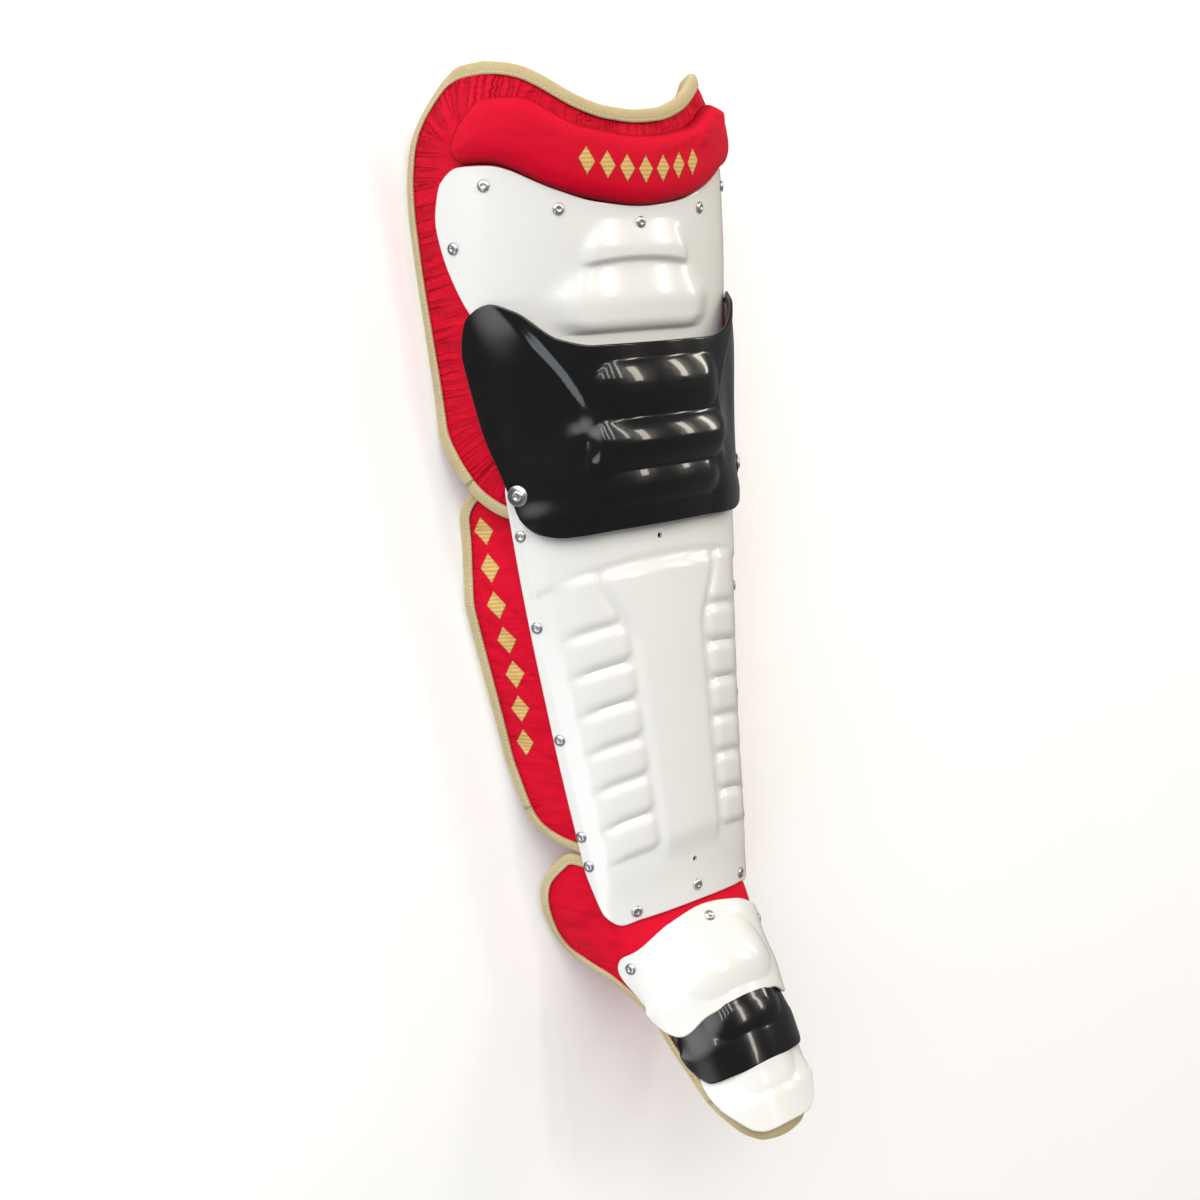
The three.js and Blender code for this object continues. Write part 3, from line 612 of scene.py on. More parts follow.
def khaki_tape():
    """Ribbed tape, its ribs across its length, a little worn and uneven in colour."""
    finish, tree, shader = new_finish(
        "khaki_tape", {"Roughness": 0.7, "Sheen Weight": 0.15, "Sheen Roughness": 0.5}
    )
    mottled(tree, shader, 35, 4, (0.47, 0.37, 0.18, 1), (0.56, 0.46, 0.25, 1))
    ribs = bumped(tree, thread_wave(tree, 0, 0.0013), 0.00012)
    tree.links.new(bumped(tree, blotches(tree, 300, 3, 0, 1), 0.0002, ribs), shader.inputs["Normal"])
    return finish


def pale_thread():
    """Twisted polyester thread."""
    finish, tree, shader = new_finish("pale_thread", {"Roughness": 0.55, "Sheen Weight": 0.2})
    mottled(tree, shader, 400, 2, (0.66, 0.58, 0.4, 1), (0.78, 0.71, 0.54, 1))
    return finish


TAPE = khaki_tape()
THREAD = pale_thread()


def make_binding(name, panel):
    """The folded tape round a liner with its row of stitches, flat where it lies on the floor."""
    at, point, onward, outward, upward = rim_stations(panel, TAPE_SPACING)
    section = tape_section(panel["tape"])
    points, faces = swept(section, point, outward, upward)
    sides = len(section)
    weave = np.stack([np.repeat(at, sides), np.tile(np.arange(sides), len(at))], -1) * MM
    seam_point, seam_onward, seam_outward, seam_upward = rim_stations(panel, STITCH_PITCH)[1:]
    seam_line = STITCH_INSET - panel["tape"]
    seam_point = seam_point + seam_outward * seam_line + seam_upward * (TAPE_FACE - STITCH_SINK)
    grains, grain_faces = stitch_row(
        seam_point, seam_onward, seam_outward, seam_upward, STITCH_LENGTH, STITCH_HALF
    )
    weave = np.concatenate([weave, np.zeros((len(grains), 2))])
    all_faces = np.concatenate([faces, grain_faces + len(points)])
    all_points = np.concatenate([points, grains])
    all_points[:, 2] = np.maximum(all_points[:, 2], 0)
    thread = np.concatenate([np.zeros(len(faces)), np.ones(len(grain_faces))])
    piece = make_piece(name + "_tape", all_points, all_faces, [TAPE, THREAD], thread, {"weave": weave})
    return settle(piece, "pad", "khaki_tape", name)


make_binding("foot_binding", FOOT_LINER)

# Foot plates
# Three domed plates of glossy moulded plastic on top of the foot, white, black and white, each
# lapped over the one nearer the toe. Their edges are trimmed and rounded.
PLATE_WALL = 3.0
SEAT_GAP = 1.0
LAP_RISE = 4.2
LAP_SPAN = (0.3, 0.72)
LIP_LOOPS = 5
FOOT_PLATE_LENGTH = 70.0


def white_plastic():
    """Moulded white plastic, glossy, with a faint ripple and dull handling marks."""
    finish, tree, shader = new_finish(
        "white_plastic", {"IOR": 1.5, "Coat Weight": 0.15, "Coat Roughness": 0.05}
    )
    mottled(tree, shader, 9, 3, (0.75, 0.745, 0.72, 1), (0.78, 0.775, 0.755, 1))
    tree.links.new(blotches(tree, 14, 2, 0.16, 0.21), shader.inputs["Roughness"])
    tree.links.new(bumped(tree, blotches(tree, 30, 1, 0, 1), 0.00012), shader.inputs["Normal"])
    return finish


def black_plastic():
    """Moulded black plastic, glossy, with a faint ripple and fine dust."""
    finish, tree, shader = new_finish(
        "black_plastic", {"Specular IOR Level": 0.36, "Coat Weight": 0.5, "Coat Roughness": 0.03}
    )
    mottled(tree, shader, 90, 6, (0.0016, 0.0016, 0.002, 1), (0.0036, 0.0036, 0.0044, 1))
    tree.links.new(blotches(tree, 35, 6, 0.15, 0.23), shader.inputs["Roughness"])
    tree.links.new(bumped(tree, blotches(tree, 30, 2, 0, 1), 0.00025), shader.inputs["Normal"])
    return finish


WHITE = white_plastic()
BLACK = black_plastic()


def make_plate(name, panel, columns, rows, body, finish, slot):
    """A plate one wall thick, with its relief pressed through it and its rim rounded."""
    grid = panel_cells(panel, columns, rows)
    under = panel["under"](grid)
    outer = lifted(panel["form"], grid["turn"], grid["y"], under + PLATE_WALL)
    inner = lifted(panel["form"], grid["turn"], grid["y"], under)
    points, faces = slab(outer, inner, LIP_LOOPS)
    return settle(make_piece(name + "_moulding", points, faces, [finish]), body, slot, name)


def pillow(across, half_across, upward, half_up, corner, round_over, fullness=2.0):
    """Height from 0 to 1 of a raised form with round corners, rolled over at its edges."""
    qx = np.abs(across) - half_across + corner
    qy = np.abs(upward) - half_up + corner
    outside = np.hypot(np.maximum(qx, 0), np.maximum(qy, 0))
    distance = outside + np.minimum(np.maximum(qx, qy), 0) - corner
    depth = np.clip(-distance / round_over, 0, 1)
    return 1 - (1 - depth) ** fullness


PLATE_EDGE = table(
    "y edge",
    (-455, 181), (-432, 163), (-410, 141), (-385, 119), (-356, 99), (-330, 78), (-308, 50), (-294, 42),
)


def foot_plate(bottom, top, reach_share, swell):
    """A plate of the foot: a swelling of a rise, half width, low and high share, on a lapped skirt."""
    rise, half, low, high = swell

    def under(grid):
        lap = SEAT_GAP + LAP_RISE * (1 - ease(*LAP_SPAN, grid["v"]))
        up = (grid["v"] - (low + high) / 2) * FOOT_PLATE_LENGTH
        half_up = (high - low) / 2 * FOOT_PLATE_LENGTH
        return lap + rise * pillow(grid["x"], half, up, half_up, 0.95 * half_up, 1.15 * half_up)

    return {
        "form": FOOT_FORM,
        "reach": lambda y: reach_share * edge_turn(FOOT_FORM, PLATE_EDGE, y),
        "bottom": bottom,
        "top": top,
        "corners": (10.0, 24.0),
        "half_arc": 90.0,
        "under": under,
    }


TOE_PLATE = foot_plate(
    table("s y", (0, -443), (0.6, -443.5), (0.86, -440), (1, -431)),
    table("s y", (0, -378), (0.6, -384), (1, -394)),
    0.86, (4.0, 34, 0.42, 1.1),
)
TOE_BAND = foot_plate(
    table("s y", (0, -393), (0.5, -396), (0.85, -399), (1, -392)),
    table("s y", (0, -322), (0.6, -330), (1, -345)),
    0.8, (5.0, 40, 0.36, 0.94),
)
INSTEP_PLATE = foot_plate(
    table("s y", (0, -340), (0.4, -346), (0.8, -360), (1, -353)),
    table("s y", (0, -268), (0.3, -274), (0.62, -291), (0.88, -301), (1, -312)),
    0.86, (5.8, 48, 0.1, 0.86),
)
make_plate("toe_plate", TOE_PLATE, 100, 64, "pad", WHITE, "white_plastic")
make_plate("toe_band", TOE_BAND, 100, 64, "pad", BLACK, "black_plastic")
make_plate("instep_plate", INSTEP_PLATE, 110, 84, "pad", WHITE, "white_plastic")

# Instep rivets
# Plated steel rivets with low domed heads, each set into the wall of its plate.
# The same rivets hold the shin and thigh shells.
RIVET_SIDES = 20
RIVET_PROFILE = table(
    "radius height",
    (2.2, -2.6), (2.2, 0.35), (4.7, 0.35), (5.0, 0.6), (4.95, 0.95), (4.4, 1.5), (3.4, 2.05), (2.2, 2.3),
    (1.9, 2.2), (1.5, 1.9), (0.8, 1.8),
)


def turned(profile, sides, point, normal):
    """A turned piece standing on a seat, closed at both ends."""
    aside = unit(np.cross(normal, (0.0, 1.0, 0.0)))
    above = np.cross(normal, aside)
    angles = 2 * math.pi * np.arange(sides) / sides
    spokes = np.outer(np.cos(angles), aside) + np.outer(np.sin(angles), above)
    points = [point + spokes * r + normal * h for r, h in zip(profile["radius"], profile["height"])]
    rings = len(points)
    at = np.arange(rings * sides).reshape(rings, sides)
    nxt = np.roll(at, -1, 1)
    faces = np.stack([at[:-1], nxt[:-1], nxt[1:], at[1:]], -1).reshape(-1, 4).tolist()
    faces.append(at[0, ::-1].tolist())
    faces.append(at[-1].tolist())
    return np.concatenate(points), faces


def plated_steel():
    """Plated steel, brushed by handling, with small pits."""
    finish, tree, shader = new_finish("plated_steel", {"Metallic": 1.0})
    mottled(tree, shader, 200, 4, (0.5, 0.5, 0.51, 1), (0.68, 0.68, 0.67, 1))
    tree.links.new(blotches(tree, 260, 5, 0.24, 0.42), shader.inputs["Roughness"])
    tree.links.new(bumped(tree, blotches(tree, 500, 3, 0, 1), 0.0001), shader.inputs["Normal"])
    return finish


STEEL = plated_steel()


def seat_on(panel, s, y):
    """Where a fastener stands on a plate's outer face, and the way that it points."""
    low, high = panel_limits(panel, np.abs(s))
    turn = s * panel["reach"](np.float64(y))
    x = form_point(panel["form"], turn, np.float64(y))[0]
    grid = {"s": np.float64(s), "v": (y - low) / (high - low), "y": np.float64(y), "turn": turn, "x": x}
    height = panel["under"](grid) + PLATE_WALL
    return lifted(panel["form"], turn, grid["y"], height), form_normal(panel["form"], turn, grid["y"])


def make_rivets(panel, *places):
    """Rivets by name, side and y, on both sides of the middle or once on it."""
    for name, s, y in places:
        sides = [(name, 0.0)] if s == 0 else [(name + "_left", -s), (name + "_right", s)]
        for full_name, side in sides:
            points, faces = turned(RIVET_PROFILE, RIVET_SIDES, *seat_on(panel, side, y))
            settle(make_piece(full_name + "_steel", points, faces, [STEEL]), "pad", "steel", full_name)


make_rivets(INSTEP_PLATE, ("instep_rivet_middle", 0, -276), ("instep_rivet_side", 0.74, -304))

# Calf liner and binding
# The foam pad behind the shin, in the same nylon and tape, whose wings reach round the calf.
# Its top tucks in under the thigh liner.
SHIN_FORM = table(
    "y half_width rise crown wing_from",
    (-275, 87, 42, 98, 77),
    (-240, 90, 43, 98, 76),
    (-95, 105, 49, 98, 75),
    (30, 118, 47.5, 98, 75),
    (105, 123.5, 45, 98, 74),
    (160, 127, 43, 98, 75),
)
CALF_EDGE = table(
    "y edge",
    (-206, 46), (-191, 28), (-178, 20), (-145, 12.5), (-105, 8.4), (20, 8.8), (50, 11.8), (92, 17.8),
    (124, 22),
)
CALF_LINER = {
    "form": SHIN_FORM,
    "reach": lambda y: edge_turn(SHIN_FORM, CALF_EDGE, y),
    "bottom": table("s y", (0, -210), (0.6, -206), (0.72, -202.5), (0.84, -198.5), (1, -196)),
    "top": table("s y", (0, 122), (0.85, 122), (1, 114)),
    "corners": (34.0, 18.0),
    "half_arc": 160.0,
    "tape": 7.2,
    "seat": lambda y: -4 - 14 * ease(20, 92, y),
    "thickness": lambda y: 18 - 8 * ease(20, 92, y),
}
CALF_FOLDS = table(
    "y depth width from_turn slope",
    (60, 1.8, 4, 1.5, 40),
    (5, 2.0, 4, 1.5, 55),
    (-22, 1.4, 4, 1.55, 50),
    (-45, 2.4, 4.5, 1.5, 45),
    (-66, 1.4, 4, 1.5, 60),
    (-120, 1.8, 5, 1.5, 30),
)
CALF_ROW_INSET = 31.0
CALF_ROW_Y = -6.0
CALF_LOZENGE_PITCH = 31.0
CALF_LOZENGE_HALF = 10.0


def calf_motif(panel, grid):
    """A row of lozenges up each wing, between its tape and the shell."""
    across = np.abs(across_of(panel, grid))
    row = across[-1:] - CALF_ROW_INSET
    up = (grid["y"] - CALF_ROW_Y) / CALF_LOZENGE_PITCH + LOZENGES / 2
    return np.stack([up, (across - row) / CALF_LOZENGE_HALF], -1)


make_liner(
    "calf_liner", CALF_LINER, 130, 140, NYLON,
    {"rise": 0.7, "pitch": 12.0, "reach": 14.0, "seed": 11},
    lambda grid: line_folds(grid, CALF_FOLDS), calf_motif,
)
make_binding("calf_binding", CALF_LINER)

# Shin shell
# One long white moulding with seven ribs on each side of a raised middle panel, below an arched
# smooth top, and a flat flange down each side where its rivets go.
RIB_LINES = np.array([0.145, 0.229, 0.313, 0.397, 0.481, 0.565, 0.649, 0.772])
RIB_RISE = 3.9
RIB_INNER = 0.26
RIB_OUTER = 0.8
RIB_GAP = 0.4
RIB_CORNER = 10.0
RIB_ROLL = 11.0
RIB_FULLNESS = 2.5
PANEL_RISE = 4.6
PANEL_HALF = 0.2
PANEL_FOOT = 0.27
PANEL_FLARE = 0.13
FLANGE_STEP = 1.4
BAND_STEP = 1.8
BAND_LINE = 0.778
BAND_BOW = 0.034
SHIN_LENGTH = 400.0
HALF_GIRTH = 1.13


def shin_under(grid):
    """Relief of the shin shell above its form, on the inside of its wall."""
    side, v = np.abs(grid["s"]), grid["v"]
    arc = HALF_GIRTH * along(SHIN_FORM, "y", "half_width", grid["y"])
    flare = PANEL_FLARE * ease(0.6, 0.76, v)
    tall = ease(0.1, 0.175, v) * (1 - ease(0.742, 0.775, v))
    panel = PANEL_RISE * (1 - ease(PANEL_HALF + flare, PANEL_FOOT + flare, side)) * tall
    fade = 1 - ease(0.5, 0.78, side)
    inner_end = (RIB_INNER + flare) * arc
    outer_end = RIB_OUTER * arc
    ribs = 0
    for low, high in zip(RIB_LINES, RIB_LINES[1:]):
        ribs = ribs + RIB_RISE * fade * pillow(
            side * arc - (inner_end + outer_end) / 2, (outer_end - inner_end) / 2,
            (v - (low + high) / 2) * SHIN_LENGTH, (high - low) / 2 * SHIN_LENGTH - RIB_GAP,
            RIB_CORNER, RIB_ROLL, RIB_FULLNESS,
        )
    flange = FLANGE_STEP * (1 - ease(0.7, 0.84, side)) * ease(0.04, 0.12, v) * (1 - ease(0.84, 0.92, v))
    band_line = BAND_LINE - BAND_BOW * side**2
    band = BAND_STEP * ease(band_line - 0.01, band_line + 0.014, v) * (1 - ease(0.86, 0.95, side))
    return panel + ribs + flange + band - PLATE_WALL


SHIN_SHELL = {
    "form": SHIN_FORM,
    "reach": lambda y: math.radians(82) + 0 * y,
    "bottom": table("s y", (0, -260), (0.5, -263), (0.68, -266), (0.86, -257), (1, -222)),
    "top": table("s y", (0, 140), (0.8, 140), (0.94, 136), (1, 126)),
    "arch": 14.0,
    "corners": (8.0, 8.0),
    "half_arc": 120.0,
    "under": shin_under,
}
SHIN_HOLES = (67.0, -223.0)
SHIN_HOLE = table("radius height", (2.5, -9), (2.5, 9))
HOLE_SIDES = 16
HOLE_CREASE = math.radians(50)


def cut_holes(piece, panel, places):
    """Small round holes through a plate on its middle line, with crisp rims."""
    for y in places:
        points, faces = turned(SHIN_HOLE, HOLE_SIDES, *seat_on(panel, 0.0, y))
        drill = make_piece("drill", points, faces, [STEEL])
        cut = piece.modifiers.new("hole", "BOOLEAN")
        cut.operation = "DIFFERENCE"
        cut.object = drill
        bored = piece.evaluated_get(bpy.context.evaluated_depsgraph_get())
        plain = piece.data
        piece.data = bpy.data.meshes.new_from_object(bored)
        piece.modifiers.clear()
        bpy.data.objects.remove(drill)
        bpy.data.meshes.remove(plain)
    piece.data.set_sharp_from_angle(angle=HOLE_CREASE)


shin_shell = make_plate("shin_shell", SHIN_SHELL, 140, 220, "pad", WHITE, "white_plastic")
cut_holes(shin_shell, SHIN_SHELL, SHIN_HOLES)
make_rivets(
    SHIN_SHELL,
    ("shin_rivet_knee", 0.915, 83),
    ("shin_rivet_upper", 0.925, 4),
    ("shin_rivet_mid", 0.935, -96),
    ("shin_rivet_lower", 0.95, -184),
    ("shin_rivet_ankle", 0.94, -211),
    ("shin_rivet_corner", 0.535, -256),
    ("shin_rivet_middle", 0, -247),
)

# Thigh liner and binding
# The largest foam pad, which wraps the front of the thigh and rises to a saddle at its top.
# Its nylon is gathered hardest, and a sewn crease with slack beside it crosses each wing.
THIGH_FORM = table(
    "y half_width rise crown wing_from",
    (80, 118, 42, 94.6, 74),
    (150, 126, 43, 94.6, 79),
    (215, 138, 60, 99, 83),
    (330, 146, 80, 118, 86),
    (400, 144, 86, 129, 86),
    (460, 130, 106, 140, 86),
)
THIGH_EDGE = table(
    "y edge",
    (96, 52), (104, 43), (125, 29), (150, 17), (180, 6.6), (210, 4.4), (250, 3), (350, 2.6),
    (380, 4.6), (408, 11), (432, 16), (452, 22),
)
THIGH_LINER = {
    "form": THIGH_FORM,
    "reach": lambda y: edge_turn(THIGH_FORM, THIGH_EDGE, y),
    "bottom": table("s y", (0, 92), (1, 98)),
    "top": table(
        "s y", (0, 416), (0.1, 418.5), (0.2, 426), (0.29, 436), (0.37, 445), (0.47, 454), (0.56, 459),
        (0.65, 461.5), (0.75, 462), (0.87, 461), (1, 458),
    ),
    "corners": (30.0, 50.0),
    "half_arc": 190.0,
    "tape": 8.4,
    "seat": lambda y: 0 * y,
    "thickness": lambda y: 11 + 8 * ease(140, 205, y),
}
THIGH_FOLDS = table(
    "y depth width from_turn slope",
    (268, 3.0, 4, 1.45, 6),
    (284, 1.0, 6, 1.5, -22),
    (240, 1.2, 7, 1.5, 26),
    (330, 0.8, 8, 1.55, 14),
)
GATHERED_NYLON = red_nylon(
    "gathered_red_nylon", puckers=0.0018, slack=0.0034, reach=0.06, shadow=0.42
)
make_liner(
    "thigh_liner", THIGH_LINER, 200, 210, GATHERED_NYLON,
    {"rise": 3.2, "pitch": 9.5, "reach": 46.0, "seed": 7},
    lambda grid: line_folds(grid, THIGH_FOLDS),
)
make_binding("thigh_binding", THIGH_LINER)

# Thigh shell
# A white moulding over the front of the thigh, shaped round the bolster above it, with a narrow
# raised step over a wide rounded one so that it stands off the leg.
LEDGE_Y = 304.0
LEDGE_BOW = 4.0
LEDGE_HALF = 54.0
LEDGE_TAPER = 10.0
LEDGE_RISE = 4.6
LIP_RISE = 6.4
LIP_LOW = 243.0
LIP_ROLL = 11.0
LIP_SIDE = table("y half", (243, 76), (256, 87), (270, 89), (288, 78), (302, 62))


def thigh_under(grid):
    """Relief of the thigh shell above its form, on the inside of its wall."""
    wide, y = np.abs(grid["x"]), grid["y"]
    ledge = LEDGE_Y - LEDGE_BOW * (wide / LEDGE_HALF) ** 2
    ledge_half = LEDGE_HALF - LEDGE_TAPER * ease(LEDGE_Y, 334, y)
    upper = LEDGE_RISE * ease(336, 308, y) * ease(-5, 0, y - ledge)
    upper = upper * (1 - ease(ledge_half - 8, ledge_half + 5, wide))
    lip_half = along(LIP_SIDE, "y", "half", y)
    roll = np.sqrt(1 - np.clip((LIP_LOW + LIP_ROLL - y) / LIP_ROLL, 0, 1) ** 2)
    lower = LIP_RISE * ease(LEDGE_Y, 264, y) * roll * (1 - ease(lip_half - 30, lip_half + 3, wide))
    return SEAT_GAP + upper + lower


THIGH_SHELL = {
    "form": THIGH_FORM,
    "reach": lambda y: math.radians(86) + 0 * y,
    "bottom": table("s y", (0, 215), (0.55, 225), (0.8, 264), (0.93, 304), (1, 336)),
    "top": table(
        "s y", (0, 341), (0.2, 345.5), (0.36, 356), (0.66, 379), (0.82, 381), (0.94, 372), (1, 352),
    ),
    "corners": (6.0, 6.0),
    "half_arc": 180.0,
    "under": thigh_under,
}
make_plate("thigh_shell", THIGH_SHELL, 150, 120, "pad", WHITE, "white_plastic")
make_rivets(
    THIGH_SHELL,
    ("thigh_rivet_middle", 0, 329.5),
    ("thigh_rivet_inner", 0.354, 342.5),
    ("thigh_rivet_outer", 0.682, 365.5),
    ("thigh_rivet_side", 0.88, 321),
)

# Thigh bolster
# A stuffed roll of the same nylon, sewn across the top of the thigh above the shell. A row of plain
# lozenges is worked on it in gold satin stitch.
BOLSTER_RISE = 10.0
BOLSTER_EDGE = 1.5
BOLSTER_ROLL = 17.0
BOLSTER_PLEAT = 3.4
BOLSTER_LOZENGE_PITCH = 18.0
BOLSTER_LOZENGE_HALF = 11.5
BOLSTER = {
    "form": THIGH_FORM,
    "reach": lambda y: math.radians(74) + 0 * y,
    "bottom": table("s y", (0, 343), (0.25, 349), (0.42, 358), (0.75, 382), (0.93, 385), (1, 393)),
    "top": table("s y", (0, 398), (0.3, 406), (0.62, 430), (0.78, 431), (0.93, 414), (1, 398)),
    "corners": (3.0, 3.0),
    "half_arc": 165.0,
}
TAUT_NYLON = red_nylon("taut_red_nylon", puckers=0.0004, slack=0.0007, reach=0.012, shadow=0.15)


def bolster_motif(panel, grid):
    """A row of lozenges along the middle of the roll."""
    low, high = panel_limits(panel, np.abs(grid["s"]))
    along_row = across_of(panel, grid) / BOLSTER_LOZENGE_PITCH + LOZENGES / 2
    return np.stack([along_row, (grid["y"] - 0.5 * (low + high)) / BOLSTER_LOZENGE_HALF], -1)


def make_bolster():
    """The stuffed roll: a full pillow with its nylon drawn in at the seam."""
    grid = panel_cells(BOLSTER, 150, 70)
    inset, arc = rim_distances(BOLSTER, grid)
    swell = np.sqrt(1 - (1 - np.clip(inset / BOLSTER_ROLL, 0, 1)) ** 2)
    pleats = ease(0.4, 0.7, grid["v"]) * (0.2 + ease(-0.1, 0.15, grid["s"]))
    drawn = BOLSTER_PLEAT * gathered(arc, inset, pitch=11.0, reach=30.0, seed=5) * pleats
    outer = SEAT_GAP + BOLSTER_EDGE + BOLSTER_RISE * swell + ease(0, 40, inset) + drawn
    outer_points = lifted(THIGH_FORM, grid["turn"], grid["y"], outer)
    inner_points = lifted(THIGH_FORM, grid["turn"], grid["y"], SEAT_GAP + 0 * outer)
    points, faces = slab(outer_points, inner_points, 0)
    maps = cloth_maps(BOLSTER, grid, inset, arc, bolster_motif(BOLSTER, grid))
    piece = make_piece("thigh_bolster_nylon", points, faces, [TAUT_NYLON], maps=maps)
    return settle(piece, "pad", "red_fabric", "thigh_bolster")


make_bolster()

# Knee cap
# A black moulding over the knee, hung on a screw at each side so that it tips with the bend of the
# leg: three rolls across its middle, between smooth wings that are pinched in beside them.
CAP_FORM = table(
    "y half_width rise crown wing_from",
    (75, 124, 58, 112, 89),
    (117, 129, 75, 123, 89),
    (180, 139, 84, 126, 89),
    (245, 147, 90, 128, 89),
    (275, 148, 92, 126, 89),
)
CAP_ROLLS = table(
    "low high rise half",
    (170, 218, 4.5, 66), (128, 170, 6.5, 74), (96, 128, 4.5, 66),
)
CAP_PINCH = table(
    "y side",
    (80, 92), (110, 82), (150, 70), (175, 71), (205, 84), (240, 106), (272, 122),
)
CAP_BULGE = 5.0
CAP_FLARE = 2.6
CAP_KNOT = 3.0
CAP_DISH = 4.0
ROLL_GAP = 0.5
ROLL_CORNER = 19.0
ROLL_OVER = 22.0


def mound(x, y, place, size):
    """Height from 0 to 1 of a soft mound of a size, at a place on each side of the middle."""
    return np.exp(-(((np.abs(x) - place[0]) / size[0]) ** 2) - ((y - place[1]) / size[1]) ** 2)


def cap_under(grid):
    """Relief of the knee cap above its form, on the inside of its wall."""
    x, y = grid["x"], grid["y"]
    height = 0
    for low, high, rise, half in zip(*CAP_ROLLS.values()):
        up, half_up = y - (low + high) / 2, (high - low) / 2 - ROLL_GAP
        height = height + rise * pillow(x, half, up, half_up, ROLL_CORNER, ROLL_OVER)
    side = along(CAP_PINCH, "y", "side", y)
    bulge = CAP_BULGE * ease(side + 7, side - 6, np.abs(x)) * ease(112, 150, y)
    knot = CAP_KNOT * mound(x, y, place=(76, 160), size=(9, 10))
    dish = CAP_DISH * mound(x, y, place=(100, 172), size=(20, 38))
    flare = CAP_FLARE * ease(114, 93, y) * ease(50, 78, np.abs(x))
    return height + bulge + flare + knot - dish - PLATE_WALL


KNEE_CAP = {
    "form": CAP_FORM,
    "reach": lambda y: np.radians(77 + 5 * ease(120, 175, y)),
    "bottom": table("s y", (0, 79), (0.6, 79), (0.8, 84), (0.93, 97), (1, 120)),
    "top": table("s y", (0, 229), (0.3, 230), (0.46, 238), (0.64, 264), (0.76, 272), (0.9, 264), (1, 240)),
    "corners": (8.0, 8.0),
    "half_arc": 170.0,
    "under": cap_under,
}
make_plate("knee_cap", KNEE_CAP, 160, 130, "knee_cap", BLACK, "black_plastic")

# Pivot screws
# A pan-head steel screw on a broad washer at each lower corner of the cap. The cap turns on the
# pair of them, and they turn with it.
PIVOT_S = 0.92
PIVOT_Y = 117
SCREW_SIDES = 28
SCREW_PROFILE = table(
    "radius height",
    (2.4, -9), (2.4, 0.3), (8.7, 0.3), (9, 0.55), (9, 1.2), (8.7, 1.5), (5.2, 1.5), (5.2, 2.3),
    (4.8, 3.2), (3.8, 3.8), (2.5, 4), (2.2, 3.3), (1.0, 3.0),
)
for side_name, side_sign in (("left", -1), ("right", 1)):
    screw_name = "pivot_screw_" + side_name
    screw_seat = seat_on(KNEE_CAP, side_sign * PIVOT_S, PIVOT_Y)
    screw_points, screw_faces = turned(SCREW_PROFILE, SCREW_SIDES, *screw_seat)
    screw = make_piece(screw_name + "_steel", screw_points, screw_faces, [STEEL])
    settle(screw, "knee_cap", "steel", screw_name)

# Studio
# A matt pale floor in a dim white room that glows on one side, strips of light above and to the
# right, a soft light on each side, and a camera at the photograph's angle to the pad.
FLOOR_HALF = 6000.0
FLOOR_Z = -0.4


def pale_floor():
    """A matt pale studio floor."""
    finish, tree, shader = new_finish("pale_floor", {"Roughness": 0.9, "Emission Strength": 0.1})
    mottled(tree, shader, 3, 2, (0.93, 0.93, 0.935, 1), (0.95, 0.95, 0.955, 1))
    return finish


floor_points = np.array([(-1, -1, 0), (1, -1, 0), (1, 1, 0), (-1, 1, 0)]) * FLOOR_HALF
floor_points[:, 2] = FLOOR_Z
floor = make_piece("floor", floor_points, np.array([(0, 1, 2, 3)]), [pale_floor()])
floor.visible_glossy = False


def placed(name, data, place, right, back):
    """An object at a place in metres, turned to look away from its back."""
    thing = bpy.data.objects.new(name, data)
    up = unit(np.cross(back, right))
    turn = np.stack([np.cross(up, back), up, back], 1)
    thing.matrix_world = Matrix.Translation(place) @ Matrix(turn.tolist()).to_4x4()
    bpy.context.scene.collection.objects.link(thing)
    return thing


def softbox(name, place, target, size, watts, colour):
    """An area light of a width and height in metres that faces a target."""
    lamp = bpy.data.lights.new(name, "AREA")
    lamp.shape = "RECTANGLE"
    lamp.size, lamp.size_y = size
    lamp.energy = watts
    lamp.color = colour
    back = unit(np.array(place, float) - np.array(target, float))
    return placed(name, lamp, place, np.cross((0, 1, 0.01), back), back)


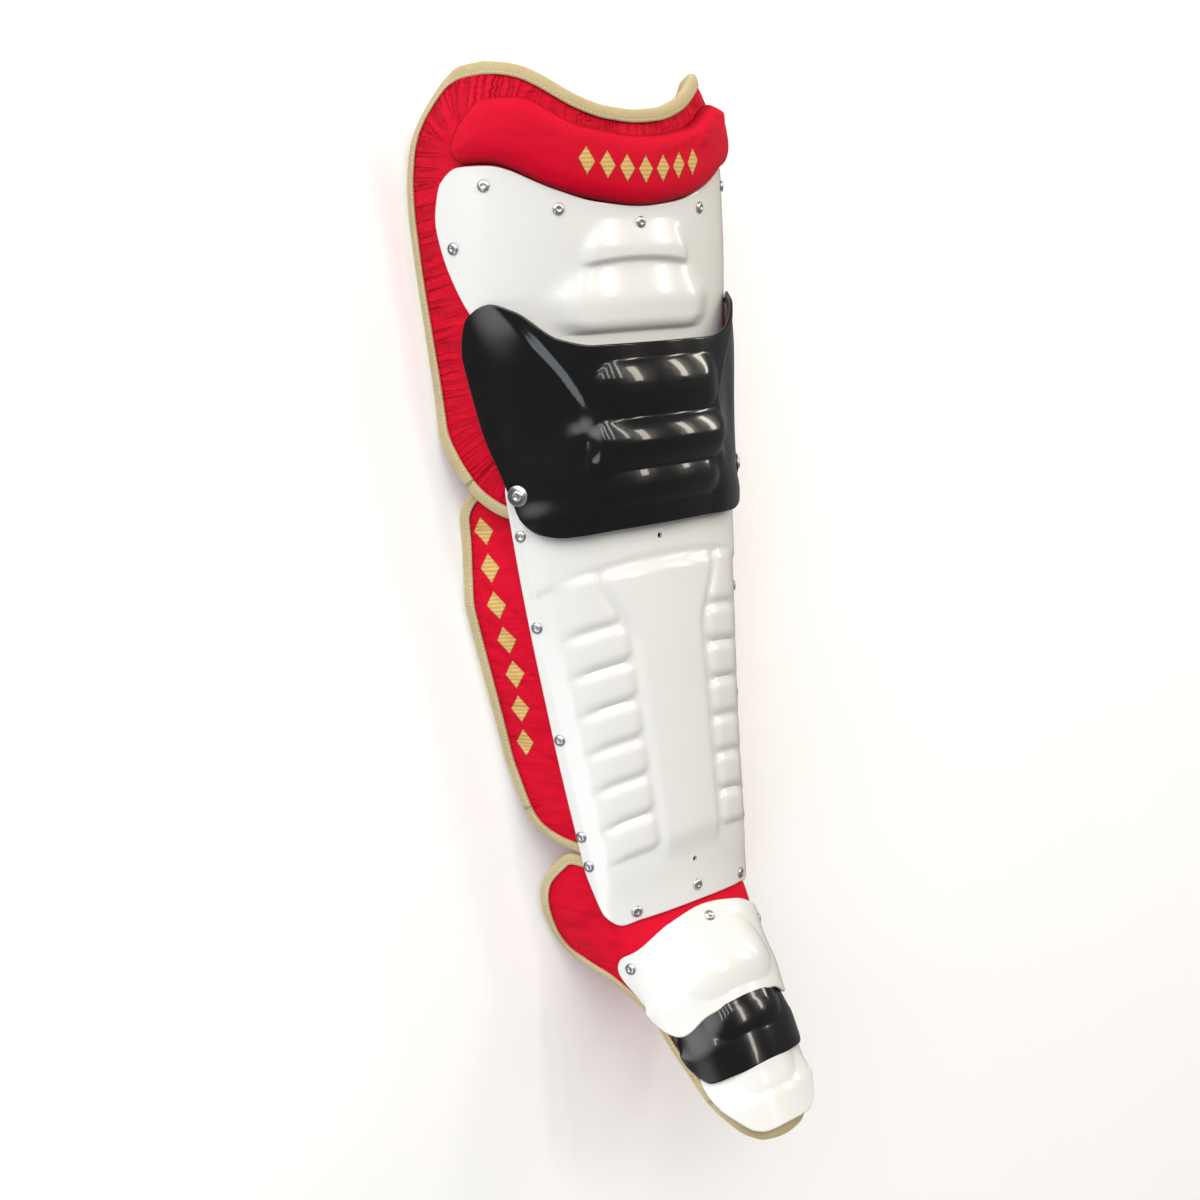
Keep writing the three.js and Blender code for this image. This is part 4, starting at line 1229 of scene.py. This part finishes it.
CENTRE = (0.0, 0.0, 0.08)
TUBES = 4
TUBE_X = -0.66
TUBE_STEP = 0.36
TUBE_TARGET = (0, 0.1, 0.05)
TUBE_WHITE = (1.0, 0.97, 0.91)
BAR_LEANS = (24, 49, 66)
BAR_DISTANCE = 6
BAR_WHITE = (1.0, 0.92, 0.8)
COOL_WHITE = (0.8, 0.9, 1.0)
WARM_WHITE = (1.0, 0.82, 0.6)
for tube in range(TUBES):
    tube_place = (TUBE_X + TUBE_STEP * tube, 1.25, 1.75)
    softbox("tube_%d" % tube, tube_place, TUBE_TARGET, size=(0.07, 1.5), watts=4.5, colour=TUBE_WHITE)
for bar, lean in enumerate(np.radians(BAR_LEANS)):
    bar_place = (BAR_DISTANCE * math.sin(lean), 1.8, BAR_DISTANCE * math.cos(lean))
    softbox("bar_%d" % bar, bar_place, CENTRE, size=(0.45, 2.4), watts=47, colour=BAR_WHITE)
softbox("low_side", (-2.1, -1.25, 0.7), CENTRE, size=(0.9, 1.2), watts=10, colour=COOL_WHITE)
warm = softbox("warm_side", (1.6, 1.7, 1.2), CENTRE, size=(1.0, 1.2), watts=7, colour=WARM_WHITE)
warm.visible_glossy = False

BRIGHT_SIDE = unit(np.array((-0.7, 0.6, 0.39))).tolist()
GLOW_SPAN = (0.74, 0.98)
GLOW_STRENGTH = 3.0
ROOM_STRENGTH = 0.2
sky = bpy.data.worlds.new("studio")
sky.use_nodes = True
sky_tree = sky.node_tree
direction = add_node(sky_tree, "ShaderNodeTexCoord", {}).outputs["Generated"]
facing = add_node(
    sky_tree, "ShaderNodeVectorMath", {0: direction, 1: BRIGHT_SIDE}, operation="DOT_PRODUCT"
).outputs["Value"]
glow = stepped(sky_tree, facing, *GLOW_SPAN)
backdrop = sky_tree.nodes["Background"]
backdrop.inputs["Color"].default_value = (1, 1, 1, 1)
strength = math_node(sky_tree, "MULTIPLY_ADD", glow, GLOW_STRENGTH, ROOM_STRENGTH)
sky_tree.links.new(strength, backdrop.inputs["Strength"])
bpy.context.scene.world = sky
bpy.context.scene.view_settings.view_transform = "Standard"

CAMERA_PLACE = (-0.7828, 0.1701, 1.0700)
CAMERA_RIGHT = (0.792, -0.118, 0.599)
CAMERA_BACK = (-0.587, 0.122, 0.800)
FOCAL_LENGTH = 43.35
SENSOR_WIDTH = 36
lens = bpy.data.cameras.new("camera")
lens.lens = FOCAL_LENGTH
lens.sensor_width = SENSOR_WIDTH
camera = placed("camera", lens, CAMERA_PLACE, CAMERA_RIGHT, unit(np.array(CAMERA_BACK)))
bpy.context.scene.camera = camera
